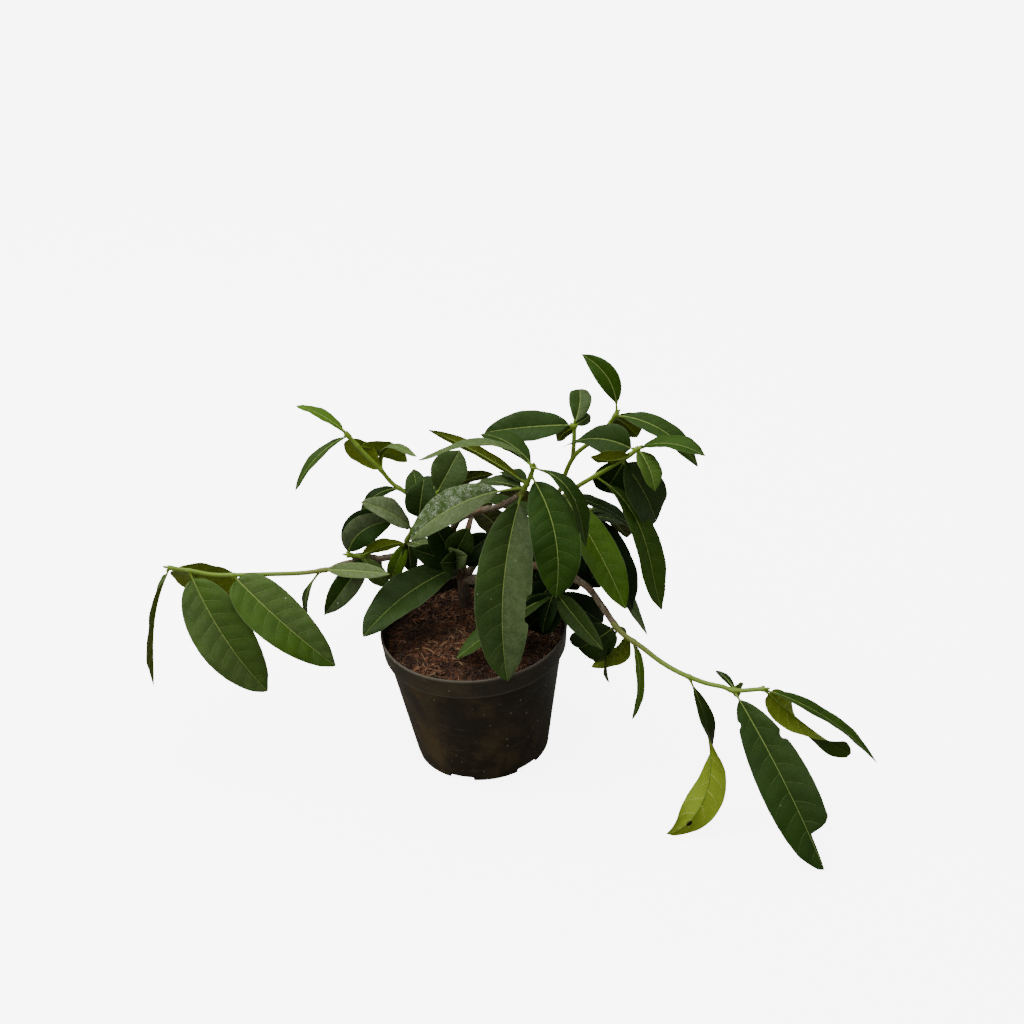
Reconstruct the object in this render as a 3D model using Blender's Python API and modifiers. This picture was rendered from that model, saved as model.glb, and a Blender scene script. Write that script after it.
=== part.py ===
"""A cherry laurel in a round nursery pot, one closed solid for each piece.

Metres, +Z up. The origin is the middle of the pot's foot, on the surface it stands on, and -Y is
the front. The pot and the soil are turned. The woody trunk and its branches are one solid, and each
leafy shoot is one more: a green stem with its leaves fused to it.
"""
import math
from collections import namedtuple

import bmesh
import bpy
from mathutils import Matrix, Quaternion, Vector, noise

# Driving sizes of the pot
POT_HEIGHT = 0.131
RIM_RADIUS = 0.085
FOOT_RADIUS = 0.062
BAND_HEIGHT = 0.020
BAND_STEP = 0.0035
WALL = 0.0016
FOOT_LIFT = 0.005
FOOT_WIDTH = 0.010
PAD_RADIUS = 0.020
FOOT_NOTCHES = 6
FOOT_NOTCH_WIDTH = 0.023
FOOT_NOTCH_HEIGHT = 0.004
FOOT_NOTCH_TURN = math.radians(-50)
DRAIN_HOLES = 6
DRAIN_HOLE_RADIUS = 0.004
DRAIN_HOLE_SIDES = 8
DRAIN_CIRCLE = 0.036
BAND_TAPER = 0.0015
POT_SIDES = 36

# Soil
SOIL_LEVEL = 0.122
SOIL_RELIEF = 0.0035
SOIL_SIDES = 32
SOIL_RINGS = 6
SOIL_LUMPS = 45.0

# Wood and leaves
GAP = 0.0003
TRUNK_RADIUS = 0.0058
TRUNK_TOP_RADIUS = 0.0052
TRUNK_HOLE = TRUNK_RADIUS + 0.0012
TRUNK_HOLE_SIDES = 12
TRUNK_SINK = 0.020
BRANCH_STEPS = 3
TWIG_STEPS = 2
TWIG_ROOT_SHARE = 0.92
TWIG_TIP_RADIUS = 0.0019
SIDE_TWIG_RADIUS = 0.0020
STRAIGHT_START = 0.004
BLADE_THICKNESS = 0.0009
PETIOLE_RADIUS = 0.0011
TIP_RADIUS = 0.00045
WAVE_RATE = 13.0
WAVY_WIDTH = 0.045
EDGE_SHARE = 0.85
PETIOLE_EDGE_SHARE = 0.5
SMALL_LEAF_WIDTH = 0.031
SMALL_LEAF_STATIONS = 5
LARGE_LEAF_STATIONS = 7
BITE_STEP = 0.006
MIDRIB_STEP = 0.01
WELD = 0.00001
SMOOTH_ANGLE = math.radians(35)

# Where a leaf's upper face looks
UP = (0.0, 0.0, 1.0)
FRONT = (0.0, -1.0, 0.45)
BACK = (0.0, 1.0, 0.35)
LEFT = (-1.0, 0.0, 0.3)
RIGHT = (1.0, 0.0, 0.3)
UP_BACK = (0.0, 0.5, 0.85)

# A leaf grows at a share of its twig's length and ends at its tip. Its midrib arches towards the
# upper face and bends sideways, most at the share peak. The halves fold up about it, and the blade
# twists towards the tip. The petiole is a share of the leaf. A small taper rounds the blade's tip.
# A bite (hand, from, to, keep) leaves only a part of one half's width along a share of the blade.
Leaf = namedtuple("Leaf", "at tip width arch face fold bend twist peak wave widest twig bites petiole taper",
                  defaults=(0.008, UP, 14, 0.0, 0, 0.5, 0.0012, 0.48, "main", (), 0.06, 0.70))

# The crown is where the trunk divides, just above the soil
CROWN = (-0.008, 0.052, 0.146)
TRUNK = [(-0.008, 0.050, SOIL_LEVEL - TRUNK_SINK), (-0.008, 0.050, 0.130), CROWN]

# Woody branches: the points each passes through, and its radius at both ends
Branch = namedtuple("Branch", "points radii")
BRANCHES = {
    "left": Branch([CROWN, (-0.021, 0.054, 0.168), (-0.045, 0.048, 0.182), (-0.089, 0.044, 0.181),
                    (-0.111, 0.042, 0.181), (-0.125, 0.040, 0.178)], (0.0038, 0.0025)),
    "upper_left": Branch([CROWN, (-0.016, 0.058, 0.175), (-0.028, 0.064, 0.205)], (0.0032, 0.0024)),
    "centre": Branch([CROWN, (-0.014, 0.049, 0.168), (-0.016, 0.040, 0.192), (-0.008, 0.026, 0.226),
                      (0.012, 0.012, 0.244), (0.032, 0.000, 0.255), (0.049, -0.010, 0.271)],
                     (0.0036, 0.0026)),
    "top": Branch([CROWN, (0.020, 0.058, 0.180), (0.052, 0.048, 0.206), (0.074, 0.036, 0.226)],
                  (0.0036, 0.0025)),
    "right": Branch([CROWN, (0.008, 0.040, 0.154), (0.046, 0.010, 0.184), (0.072, -0.010, 0.194),
                     (0.094, -0.029, 0.192), (0.106, -0.036, 0.184), (0.114, -0.042, 0.173),
                     (0.124, -0.054, 0.160)], (0.0042, 0.0028)),
    "left_low": Branch([(-0.086, 0.044, 0.181), (-0.091, 0.039, 0.188)], (0.0024, 0.0020)),
    "left_upright": Branch([(-0.052, 0.047, 0.182), (-0.055, 0.043, 0.196)], (0.0025, 0.0021)),
    "crown": Branch([(-0.006, 0.052, 0.154), (-0.006, 0.040, 0.170)], (0.0026, 0.0021)),
    "right_upper": Branch([(0.052, 0.048, 0.206), (0.070, 0.030, 0.228), (0.084, 0.019, 0.245)],
                          (0.0028, 0.0025)),
    "right_inner": Branch([(0.036, 0.054, 0.194), (0.058, 0.042, 0.196), (0.074, 0.034, 0.200)],
                          (0.0028, 0.0023)),
    "right_low": Branch([(0.072, -0.010, 0.194), (0.076, -0.009, 0.184)], (0.0028, 0.0023)),
    "back": Branch([CROWN, (-0.004, 0.072, 0.172), (0.004, 0.096, 0.190)], (0.0034, 0.0025)),
}

# Leafy shoots: the branch each grows on, its green twigs and its leaves
Shoot = namedtuple("Shoot", "branch twigs leaves colour")
DARK = (0.030, 0.085, 0.022)
MID = (0.045, 0.120, 0.024)
BRIGHT = (0.070, 0.165, 0.022)

SHOOTS = {
    "left_shoot": Shoot(
        "left",
        {"main": [(-0.155, 0.038, 0.176), (-0.190, 0.036, 0.179), (-0.231, 0.034, 0.183),
                  (-0.252, 0.034, 0.189), (-0.274, 0.034, 0.195)]},
        [Leaf(0.99, (-0.305, 0.020, 0.074), 0.034, 0.0075, LEFT, peak=0.42),
         Leaf(0.97, (-0.227, 0.092, 0.097), 0.052, 0.009, BACK),
         Leaf(0.87, (-0.196, 0.000, 0.073), 0.054, 0.008, (0.2, -0.95, 0.5), bend=0.006,
              widest=0.42),
         Leaf(0.61, (-0.130, 0.000, 0.096), 0.048, 0.008, (0.25, -0.9, 0.6), bend=0.003,
              widest=0.36, petiole=0.04),
         Leaf(0.09, (-0.154, 0.030, 0.136), 0.011, 0.007, (-0.8, -0.6, 0.2), widest=0.68),
         Leaf(0.06, (-0.071, 0.002, 0.191), 0.016, 0.003, (0.0, -0.6, 0.8))],
        MID),
    "upper_left_shoot": Shoot(
        "upper_left",
        {"main": [(-0.051, 0.070, 0.232), (-0.065, 0.074, 0.243), (-0.075, 0.076, 0.258),
                  (-0.087, 0.078, 0.273), (-0.103, 0.082, 0.295)]},
        [Leaf(0.99, (-0.146, 0.100, 0.316), 0.018, 0.004, (0.0, 0.1, 1.0)),
         Leaf(0.97, (-0.152, 0.060, 0.251), 0.015, 0.008, (-1.0, -0.5, 0.4)),
         Leaf(0.95, (-0.075, 0.090, 0.250), 0.027, 0.004, BACK, bend=-0.006),
         Leaf(0.86, (-0.052, 0.112, 0.243), 0.024, 0.004, BACK),
         Leaf(0.60, (-0.039, 0.060, 0.277), 0.015, 0.017, (0.0, 0.2, 1.0), peak=0.42),
         Leaf(0.40, (-0.096, 0.060, 0.220), 0.015, 0.010, (-0.8, -0.5, 0.5)),
         Leaf(0.25, (-0.048, 0.140, 0.186), 0.030)],
        BRIGHT),
    "left_low_spray": Shoot(
        "left_low",
        {"main": [(-0.098, 0.034, 0.192), (-0.110, 0.032, 0.196)]},
        [Leaf(0.97, (-0.065, 0.036, 0.226), 0.028, 0.008, FRONT, bend=-0.010),
         Leaf(0.16, (-0.138, 0.030, 0.133), 0.025, 0.008, FRONT, widest=0.38, taper=0.9),
         Leaf(0.40, (-0.077, 0.034, 0.158), 0.018, 0.004, FRONT),
         Leaf(0.50, (-0.056, 0.022, 0.210), 0.018, 0.004, BACK),
         Leaf(0.90, (-0.094, 0.104, 0.120), 0.030),
         Leaf(0.99, (-0.070, 0.048, 0.223), 0.028, -0.004, FRONT, bend=-0.011)],
        MID),
    "left_upright_spray": Shoot(
        "left_upright",
        {"main": [(-0.050, 0.042, 0.210), (-0.038, 0.044, 0.228), (-0.024, 0.046, 0.246)]},
        [Leaf(0.30, (-0.091, 0.026, 0.254), 0.028, 0.006, (0.2, -0.4, 0.9), taper=0.9),
         Leaf(0.60, (-0.044, 0.066, 0.261), 0.022, 0.006, FRONT),
         Leaf(0.98, (-0.001, 0.072, 0.274), 0.034, 0.006, FRONT, taper=0.9),
         Leaf(0.90, (0.028, 0.074, 0.245), 0.020, 0.006, BACK),
         Leaf(0.15, (-0.054, 0.043, 0.165), 0.015, 0.003, FRONT),
         Leaf(0.05, (-0.029, 0.020, 0.198), 0.020, 0.004, UP),
         Leaf(0.10, (-0.075, 0.044, 0.157), 0.016, 0.004, FRONT),
         Leaf(0.50, (-0.035, 0.054, 0.256), 0.030, 0.006, FRONT),
         Leaf(0.80, (-0.020, 0.120, 0.216), 0.032)],
        DARK),
    "crown_spray": Shoot(
        "crown",
        {"main": [(-0.010, 0.030, 0.182), (-0.014, 0.025, 0.192)]},
        [Leaf(0.15, (-0.099, -0.022, 0.142), 0.042, 0.004, (0.0, -0.3, 0.9), bend=0.007),
         Leaf(0.80, (-0.024, -0.008, 0.206), 0.028, 0.006, FRONT),
         Leaf(0.97, (0.000, -0.006, 0.210), 0.022, 0.004, FRONT),
         Leaf(0.60, (0.014, 0.042, 0.189), 0.026, 0.004, FRONT),
         Leaf(0.75, (0.022, 0.034, 0.205), 0.026, 0.004, FRONT),
         Leaf(0.50, (-0.031, 0.020, 0.234), 0.030, 0.004, FRONT),
         Leaf(0.98, (0.003, 0.008, 0.230), 0.026, 0.004, FRONT),
         Leaf(0.40, (-0.049, 0.014, 0.209), 0.024, 0.004, FRONT)],
        DARK),
    "centre_shoot": Shoot(
        "centre",
        {"main": [(0.057, -0.016, 0.286), (0.061, -0.020, 0.297), (0.063, -0.024, 0.307)]},
        [Leaf(0.97, (-0.034, -0.020, 0.318), 0.020, 0.018, (0.0, 0.18, 0.98), peak=0.42),
         Leaf(0.98, (0.020, 0.010, 0.322), 0.026, 0.008, taper=0.9),
         Leaf(0.45, (-0.026, 0.040, 0.314), 0.016, 0.004, BACK),
         Leaf(0.40, (0.036, 0.036, 0.268), 0.018, 0.004),
         Leaf(0.25, (0.012, 0.030, 0.262), 0.022, 0.004),
         Leaf(0.30, (-0.048, -0.012, 0.234), 0.034, 0.008, (0.0, -0.5, 0.85), bend=0.008,
              petiole=0.20),
         Leaf(0.14, (0.028, -0.088, 0.131), 0.052, 0.010, FRONT, 20, bend=0.010, widest=0.48,
              bites=((-1, 0.50, 0.66, 0.82),), taper=0.60),
         Leaf(0.70, (0.074, -0.080, 0.209), 0.043, 0.012, FRONT, 12, bend=-0.010, widest=0.50,
              taper=0.62),
         Leaf(0.96, (0.103, -0.060, 0.245), 0.026, 0.017, (0.7, -0.3, 0.6), peak=0.42,
              widest=0.54)],
        MID),
    "top_shoot": Shoot(
        "top",
        {"main": [(0.086, 0.030, 0.249), (0.093, 0.030, 0.269), (0.099, 0.030, 0.281),
                  (0.106, 0.028, 0.290), (0.124, 0.024, 0.306), (0.139, 0.022, 0.327)],
         "side": [(0.099, 0.030, 0.281), (0.101, 0.032, 0.298), (0.102, 0.034, 0.313)]},
        [Leaf(0.97, (0.023, 0.046, 0.304), 0.030, 0.004, (0.0, -0.6, 0.75), twig="side"),
         Leaf(0.98, (0.109, 0.066, 0.330), 0.021, 0.004, FRONT, bend=0.002, widest=0.62,
              twig="side", taper=0.45),
         Leaf(0.95, (0.117, 0.050, 0.312), 0.011, 0.003, FRONT, twig="side"),
         Leaf(0.99, (0.111, 0.040, 0.377), 0.020, 0.006, FRONT, bend=0.009, petiole=0.14, taper=0.95),
         Leaf(0.98, (0.205, -0.006, 0.284), 0.023, 0.016, (0.2, -0.4, 0.85)),
         Leaf(0.96, (0.157, 0.036, 0.294), 0.030, 0.004, BACK),
         Leaf(0.90, (0.086, 0.030, 0.299), 0.016, 0.003, BACK, twig="side")],
        MID),
    "right_upper_shoot": Shoot(
        "right_upper",
        {"main": [(0.103, 0.008, 0.266), (0.124, 0.000, 0.283), (0.145, -0.008, 0.301),
                  (0.154, -0.010, 0.309)]},
        [Leaf(0.99, (0.206, -0.046, 0.317), 0.026, 0.008),
         Leaf(0.98, (0.164, -0.040, 0.283), 0.022, 0.005, (0.5, -0.8, 0.4)),
         Leaf(0.96, (0.090, 0.020, 0.298), 0.030, 0.003, (0.0, -0.9, 0.45), bend=0.009, twist=60,
              widest=0.25, taper=2.0),
         Leaf(0.90, (0.112, -0.014, 0.306), 0.026, -0.004, (0.0, 0.75, 0.55)),
         Leaf(0.80, (0.168, -0.002, 0.229), 0.043, 0.006, (0.5, -0.7, 0.4)),
         Leaf(0.50, (0.168, -0.042, 0.162), 0.030, 0.014, (0.6, -0.7, 0.4), bend=-0.008,
              peak=0.38, widest=0.58),
         Leaf(0.10, (0.135, -0.054, 0.174), 0.034, 0.010, (0.3, -0.8, 0.5)),
         Leaf(0.12, (0.151, 0.010, 0.214), 0.021, 0.006),
         Leaf(0.86, (0.125, 0.024, 0.248), 0.036, 0.004, FRONT)],
        DARK),
    "right_spray": Shoot(
        "right_inner",
        {"main": [(0.086, 0.030, 0.206), (0.100, 0.028, 0.218), (0.112, 0.026, 0.228)]},
        [Leaf(0.97, (0.145, 0.006, 0.130), 0.034, 0.008, (0.6, -0.75, 0.3)),
         Leaf(0.80, (0.156, 0.040, 0.192), 0.036, 0.006),
         Leaf(0.40, (0.160, 0.020, 0.092), 0.026, 0.006, (0.95, -0.25, 0.2)),
         Leaf(0.90, (0.150, 0.100, 0.150), 0.036),
         Leaf(0.60, (0.070, 0.115, 0.180), 0.036),
         Leaf(0.15, (0.097, 0.012, 0.153), 0.034, 0.004, FRONT),
         Leaf(0.05, (0.056, 0.016, 0.161), 0.034, 0.004, FRONT),
         Leaf(0.25, (0.118, 0.018, 0.150), 0.028, 0.004, FRONT)],
        DARK),
    "right_low_spray": Shoot(
        "right_low",
        {"main": [(0.077, -0.011, 0.176), (0.078, -0.014, 0.166)]},
        [Leaf(0.95, (0.112, -0.084, 0.154), 0.020, 0.006, FRONT, widest=0.42),
         Leaf(0.90, (0.048, -0.014, 0.133), 0.038, 0.006, FRONT),
         Leaf(0.80, (-0.016, -0.044, 0.127), 0.032, 0.004, UP),
         Leaf(0.60, (0.062, -0.032, 0.140), 0.020, 0.003, UP),
         Leaf(0.25, (0.040, -0.004, 0.136), 0.036, 0.004, FRONT),
         Leaf(0.80, (0.118, 0.002, 0.122), 0.030, 0.004, FRONT)],
        DARK),
    "right_long_shoot": Shoot(
        "right",
        {"main": [(0.133, -0.063, 0.152), (0.147, -0.071, 0.144), (0.162, -0.080, 0.134),
                  (0.178, -0.089, 0.127), (0.198, -0.096, 0.120), (0.213, -0.101, 0.118),
                  (0.224, -0.104, 0.115), (0.249, -0.108, 0.118)]},
        [Leaf(0.01, (0.103, -0.050, 0.111), 0.024, 0.021, (1.0, 0.1, 0.3), peak=0.44),
         Leaf(0.17, (0.136, -0.080, 0.073), 0.014, 0.007, (0.8, -0.6, 0.2), taper=0.35),
         Leaf(0.03, (0.093, -0.026, 0.116), 0.036, 0.006, FRONT, taper=0.35),
         Leaf(0.05, (0.119, -0.044, 0.088), 0.022, 0.006, LEFT),
         Leaf(0.55, (0.156, -0.160, 0.008), 0.034, 0.004, FRONT, bend=-0.030, twist=-205,
              peak=0.60, widest=0.62, taper=0.45),
         Leaf(0.82, (0.282, -0.220, 0.010), 0.047, 0.010, FRONT, bend=-0.003, widest=0.56,
              bites=((-1, 0.26, 0.30, 0.82), (1, 0.11, 0.14, 0.8), (-1, 0.765, 1.0, 0.85),
                     (-1, 0.795, 1.0, 0.12)), taper=0.5),
         Leaf(0.99, (0.326, -0.110, 0.041), 0.033, 0.004, (0.0, 1.0, 0.0), twist=-185,
              bend=-0.006, peak=0.58, widest=0.50, petiole=0.07, taper=0.40),
         Leaf(0.99, (0.348, -0.116, 0.033), 0.022, 0.010, UP),
         Leaf(0.83, (0.213, -0.060, 0.105), 0.008, 0.003),
         Leaf(0.80, (0.232, -0.086, 0.104), 0.014, 0.002, FRONT)],
        MID),
    "back_shoot": Shoot(
        "back",
        {"main": [(0.010, 0.122, 0.184), (0.016, 0.146, 0.176), (0.020, 0.168, 0.164)]},
        [Leaf(0.98, (0.000, 0.236, 0.100), 0.036, face=BACK),
         Leaf(0.94, (0.078, 0.208, 0.110), 0.036, face=BACK),
         Leaf(0.75, (-0.046, 0.206, 0.112), 0.038, face=BACK),
         Leaf(0.55, (0.088, 0.168, 0.120), 0.036),
         Leaf(0.30, (-0.058, 0.158, 0.122), 0.038),
         Leaf(0.15, (0.046, 0.172, 0.086), 0.034, 0.012, BACK)],
        MID),
}


def clear_scene():
    for item in list(bpy.data.objects):
        bpy.data.objects.remove(item, do_unlink=True)


def new_collection(name):
    collection = bpy.data.collections.new(name)
    bpy.context.scene.collection.children.link(collection)
    return collection


def add_object(name, mesh, collection):
    item = bpy.data.objects.new(name, mesh)
    collection.objects.link(item)
    return item


def new_material(name, colour, roughness):
    """A plain non-metal with the piece's own colour."""
    material = bpy.data.materials.new(name)
    material.use_nodes = True
    shader = material.node_tree.nodes["Principled BSDF"]
    shader.inputs["Base Color"].default_value = (*colour, 1.0)
    shader.inputs["Roughness"].default_value = roughness
    shader.inputs["Metallic"].default_value = 0.0
    return material


def evaluated_mesh(item):
    """The mesh that an object's modifiers or curve settings give."""
    depsgraph = bpy.context.evaluated_depsgraph_get()
    return bpy.data.meshes.new_from_object(item.evaluated_get(depsgraph))


def boolean(target, operation, other, solver="EXACT"):
    """Apply one Boolean with another object or with all of a collection, and remove what it used."""
    modifier = target.modifiers.new(operation.lower(), "BOOLEAN")
    modifier.operation = operation
    modifier.solver = solver
    if isinstance(other, bpy.types.Collection):
        modifier.operand_type = "COLLECTION"
        modifier.collection = other
        used = list(other.objects)
    else:
        modifier.object = other
        used = [other]
    mesh = evaluated_mesh(target)
    target.modifiers.clear()
    target.data = mesh
    for item in used:
        bpy.data.objects.remove(item, do_unlink=True)


def turned(name, profile, sides, collection):
    """A closed profile in the XZ plane, turned about Z."""
    bm = bmesh.new()
    points = [bm.verts.new((radius, 0.0, height)) for radius, height in profile]
    for first, second in zip(points, points[1:] + points[:1]):
        bm.edges.new((first, second))
    mesh = bpy.data.meshes.new(name)
    bm.to_mesh(mesh)
    bm.free()
    item = add_object(name, mesh, collection)
    screw = item.modifiers.new("turn", "SCREW")
    screw.steps = sides
    screw.render_steps = sides
    screw.use_merge_vertices = True
    screw.merge_threshold = WELD
    item.data = evaluated_mesh(item)
    item.modifiers.clear()
    return item


def smooth_path(points, per_span):
    """Points on the smooth curve that passes through the given ones."""
    knots = [Vector(point) for point in points]
    ends = [2 * knots[0] - knots[1]] + knots + [2 * knots[-1] - knots[-2]]
    path = []
    for before, start, end, after in zip(ends, ends[1:], ends[2:], ends[3:]):
        for step in range(per_span):
            t = step / per_span
            path.append(0.5 * (2 * start + (end - before) * t
                               + (2 * before - 5 * start + 4 * end - after) * t ** 2
                               + (3 * start - before - 3 * end + after) * t ** 3))
    return path + [knots[-1]]


def along(path, share):
    """The point at a share of a path's length."""
    lengths = [(end - start).length for start, end in zip(path, path[1:])]
    left = share * sum(lengths)
    for start, end, length in zip(path, path[1:], lengths):
        if left <= length:
            return start.lerp(end, left / length)
        left -= length
    return path[-1].copy()


def tube(name, path, radii, collection):
    """A curve of round section with filled caps, made a mesh whose caps are welded."""
    curve = bpy.data.curves.new(name, "CURVE")
    curve.dimensions = "3D"
    curve.bevel_depth = 1.0
    curve.bevel_resolution = 1
    curve.use_fill_caps = True
    spline = curve.splines.new("POLY")
    spline.points.add(len(path) - 1)
    for index, (point, place) in enumerate(zip(spline.points, path)):
        share = index / (len(path) - 1)
        point.co = (*place, 1.0)
        point.radius = radii[0] + (radii[1] - radii[0]) * share
    guide = bpy.data.objects.new(name, curve)
    collection.objects.link(guide)
    mesh = evaluated_mesh(guide)
    bpy.data.objects.remove(guide, do_unlink=True)
    bm = bmesh.new()
    bm.from_mesh(mesh)
    bmesh.ops.remove_doubles(bm, verts=bm.verts, dist=WELD)
    bmesh.ops.recalc_face_normals(bm, faces=bm.faces)
    bm.to_mesh(mesh)
    bm.free()
    return add_object(name, mesh, collection)


def blade_half_width(leaf, share, hand):
    """Half the blade's width at a share of its length, narrow at both ends."""
    rise = leaf.taper * leaf.widest / (1 - leaf.widest)
    peak = leaf.widest ** rise * (1 - leaf.widest) ** leaf.taper
    shape = share ** rise * (1 - share) ** leaf.taper / peak if 0 < share < 1 else 0.0
    for bitten, start, end, keep in leaf.bites:
        if bitten == hand and start <= share <= end:
            shape *= keep
    return leaf.width / 2 * shape


def leaf_frames(root, leaf, shares):
    """The midrib's points, with the sideways and the upward direction at each."""
    tip = Vector(leaf.tip)
    chord = (tip - root).normalized()
    face = Vector(leaf.face)
    face = (face - chord * face.dot(chord)).normalized()
    bulge = face * leaf.arch + chord.cross(face) * leaf.bend
    fall = (1 - leaf.peak) / leaf.peak
    height = leaf.peak * (1 - leaf.peak) ** fall

    def midrib(share):
        share = min(max(share, 0.0), 1.0)
        return root.lerp(tip, share) + bulge * share * (1 - share) ** fall / height

    frames = []
    for share in shares:
        tangent = (midrib(share + MIDRIB_STEP) - midrib(share - MIDRIB_STEP)).normalized()
        side = tangent.cross(face).normalized()
        side = Quaternion(tangent, math.radians(leaf.twist) * share) @ side
        frames.append((midrib(share), side, side.cross(tangent)))
    return frames


def leaf_stations(leaf):
    """Shares of the blade's length: even steps, and two at each edge of a bite."""
    count = SMALL_LEAF_STATIONS if leaf.width < SMALL_LEAF_WIDTH else LARGE_LEAF_STATIONS
    shares = [step / count for step in range(count + 1)]
    for _, start, end, _ in leaf.bites:
        shares += [share for cut in (start, end) for share in (cut - BITE_STEP, cut + BITE_STEP)
                   if share < 1]
    return sorted(shares)


def leaf_section(leaf, blade, point, side, up):
    """Six points round the midrib: the folded, waved upper face, then the under face."""
    fold = math.radians(leaf.fold)
    least = PETIOLE_RADIUS + (TIP_RADIUS - PETIOLE_RADIUS) * blade
    spread = min(1.0, blade_half_width(leaf, blade, 0) / (4 * PETIOLE_RADIUS))
    rib = PETIOLE_RADIUS * (1 - spread) + BLADE_THICKNESS / 2 * spread
    rim = rib * (PETIOLE_EDGE_SHARE + (EDGE_SHARE - PETIOLE_EDGE_SHARE) * spread)
    waviness = leaf.wave * spread * min(1.0, leaf.width / WAVY_WIDTH)
    edges = []
    for hand in (-1, 1):
        half = max(blade_half_width(leaf, blade, hand), least)
        wave = waviness * math.sin(hand + WAVE_RATE * blade)
        lift = up * (half * math.sin(fold) * spread + wave)
        edges.append(point + side * hand * half * math.cos(fold) + lift)
    left, right = edges
    return [left + up * rim, point + up * rib, right + up * rim,
            right - up * rim, point - up * rib, left - up * rim]


def leaf_object(name, root, leaf, collection):
    """A petiole and a blade, lofted through the leaf's sections."""
    blades = [0.0] + leaf_stations(leaf)
    shares = [0.0] + [leaf.petiole + (1 - leaf.petiole) * blade for blade in blades[1:]]
    bm = bmesh.new()
    rings = []
    for blade, (point, side, up) in zip(blades, leaf_frames(root, leaf, shares)):
        places = leaf_section(leaf, blade, point, side, up)
        rings.append([bm.verts.new(place) for place in places])
    for low, high in zip(rings, rings[1:]):
        # The diagonals on the under face lie under those on the upper face
        for first, second in ((0, 1), (2, 1), (3, 4), (5, 4)):
            bm.faces.new((low[first], high[first], high[second]))
            bm.faces.new((low[first], high[second], low[second]))
        for first, second in ((2, 3), (5, 0)):
            bm.faces.new((low[first], low[second], high[second]))
            bm.faces.new((low[first], high[second], high[first]))
    bm.faces.new(rings[0])
    bm.faces.new(rings[-1])
    bmesh.ops.recalc_face_normals(bm, faces=bm.faces)
    bmesh.ops.triangulate(bm, faces=[face for face in bm.faces if len(face.verts) > 4])
    mesh = bpy.data.meshes.new(name)
    bm.to_mesh(mesh)
    bm.free()
    return add_object(name, mesh, collection)


def fuse(first, others):
    """Join a collection's solids to one solid and drop the collection."""
    boolean(first, "UNION", others)
    bpy.data.collections.remove(others)


def branch_end(branch):
    """Where a branch's cut end is, and which way it points."""
    path = smooth_path(branch.points, BRANCH_STEPS)
    return path[-1], (path[-1] - path[-2]).normalized()


def shoot_paths(shoot):
    """Each green twig's path. The main one starts square on the end of its branch."""
    end, direction = branch_end(BRANCHES[shoot.branch])
    start = end + direction * (GAP + STRAIGHT_START)
    paths = {name: smooth_path(points, TWIG_STEPS) for name, points in shoot.twigs.items()}
    main = smooth_path([start] + list(shoot.twigs["main"]), TWIG_STEPS)
    paths["main"] = [end + direction * GAP] + main
    return paths


def make_shoot(name, shoot, collection):
    paths = shoot_paths(shoot)
    loose = new_collection(name + "_loose")
    root_radius = BRANCHES[shoot.branch].radii[1] * TWIG_ROOT_SHARE
    stem = tube(name, paths["main"], (root_radius, TWIG_TIP_RADIUS), collection)
    for twig, path in paths.items():
        if twig != "main":
            tube(name + "_" + twig, path, (SIDE_TWIG_RADIUS, TWIG_TIP_RADIUS), loose)
    for number, leaf in enumerate(shoot.leaves):
        root = along(paths[leaf.twig], leaf.at)
        leaf_object(f"{name}_leaf_{number}", root, leaf, loose)
    fuse(stem, loose)
    return stem


def make_wood(collection):
    """The trunk and its branches as one solid."""
    loose = new_collection("wood_loose")
    wood = tube("trunk_and_branches", smooth_path(TRUNK, BRANCH_STEPS),
                (TRUNK_RADIUS, TRUNK_TOP_RADIUS), collection)
    for name, branch in BRANCHES.items():
        tube(name + "_branch", smooth_path(branch.points, BRANCH_STEPS), branch.radii, loose)
    fuse(wood, loose)
    return wood


def add_cutter(name, bm, collection):
    mesh = bpy.data.meshes.new(name)
    bm.to_mesh(mesh)
    bm.free()
    cutter = add_object(name, mesh, collection)
    cutter.hide_render = True
    cutter.display_type = "WIRE"
    return cutter


def box_cutter(name, size, collection):
    bm = bmesh.new()
    bmesh.ops.create_cube(bm, size=1.0)
    bmesh.ops.scale(bm, vec=size, verts=bm.verts)
    return add_cutter(name, bm, collection)


def rod_cutter(name, radius, length, sides, collection):
    bm = bmesh.new()
    bmesh.ops.create_cone(bm, cap_ends=True, segments=sides, radius1=radius, radius2=radius,
                          depth=length)
    return add_cutter(name, bm, collection)


def outer_radius(height):
    """The pot wall's outer radius below the band."""
    top = RIM_RADIUS - BAND_TAPER - BAND_STEP
    return FOOT_RADIUS + (top - FOOT_RADIUS) * height / (POT_HEIGHT - BAND_HEIGHT)


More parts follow.
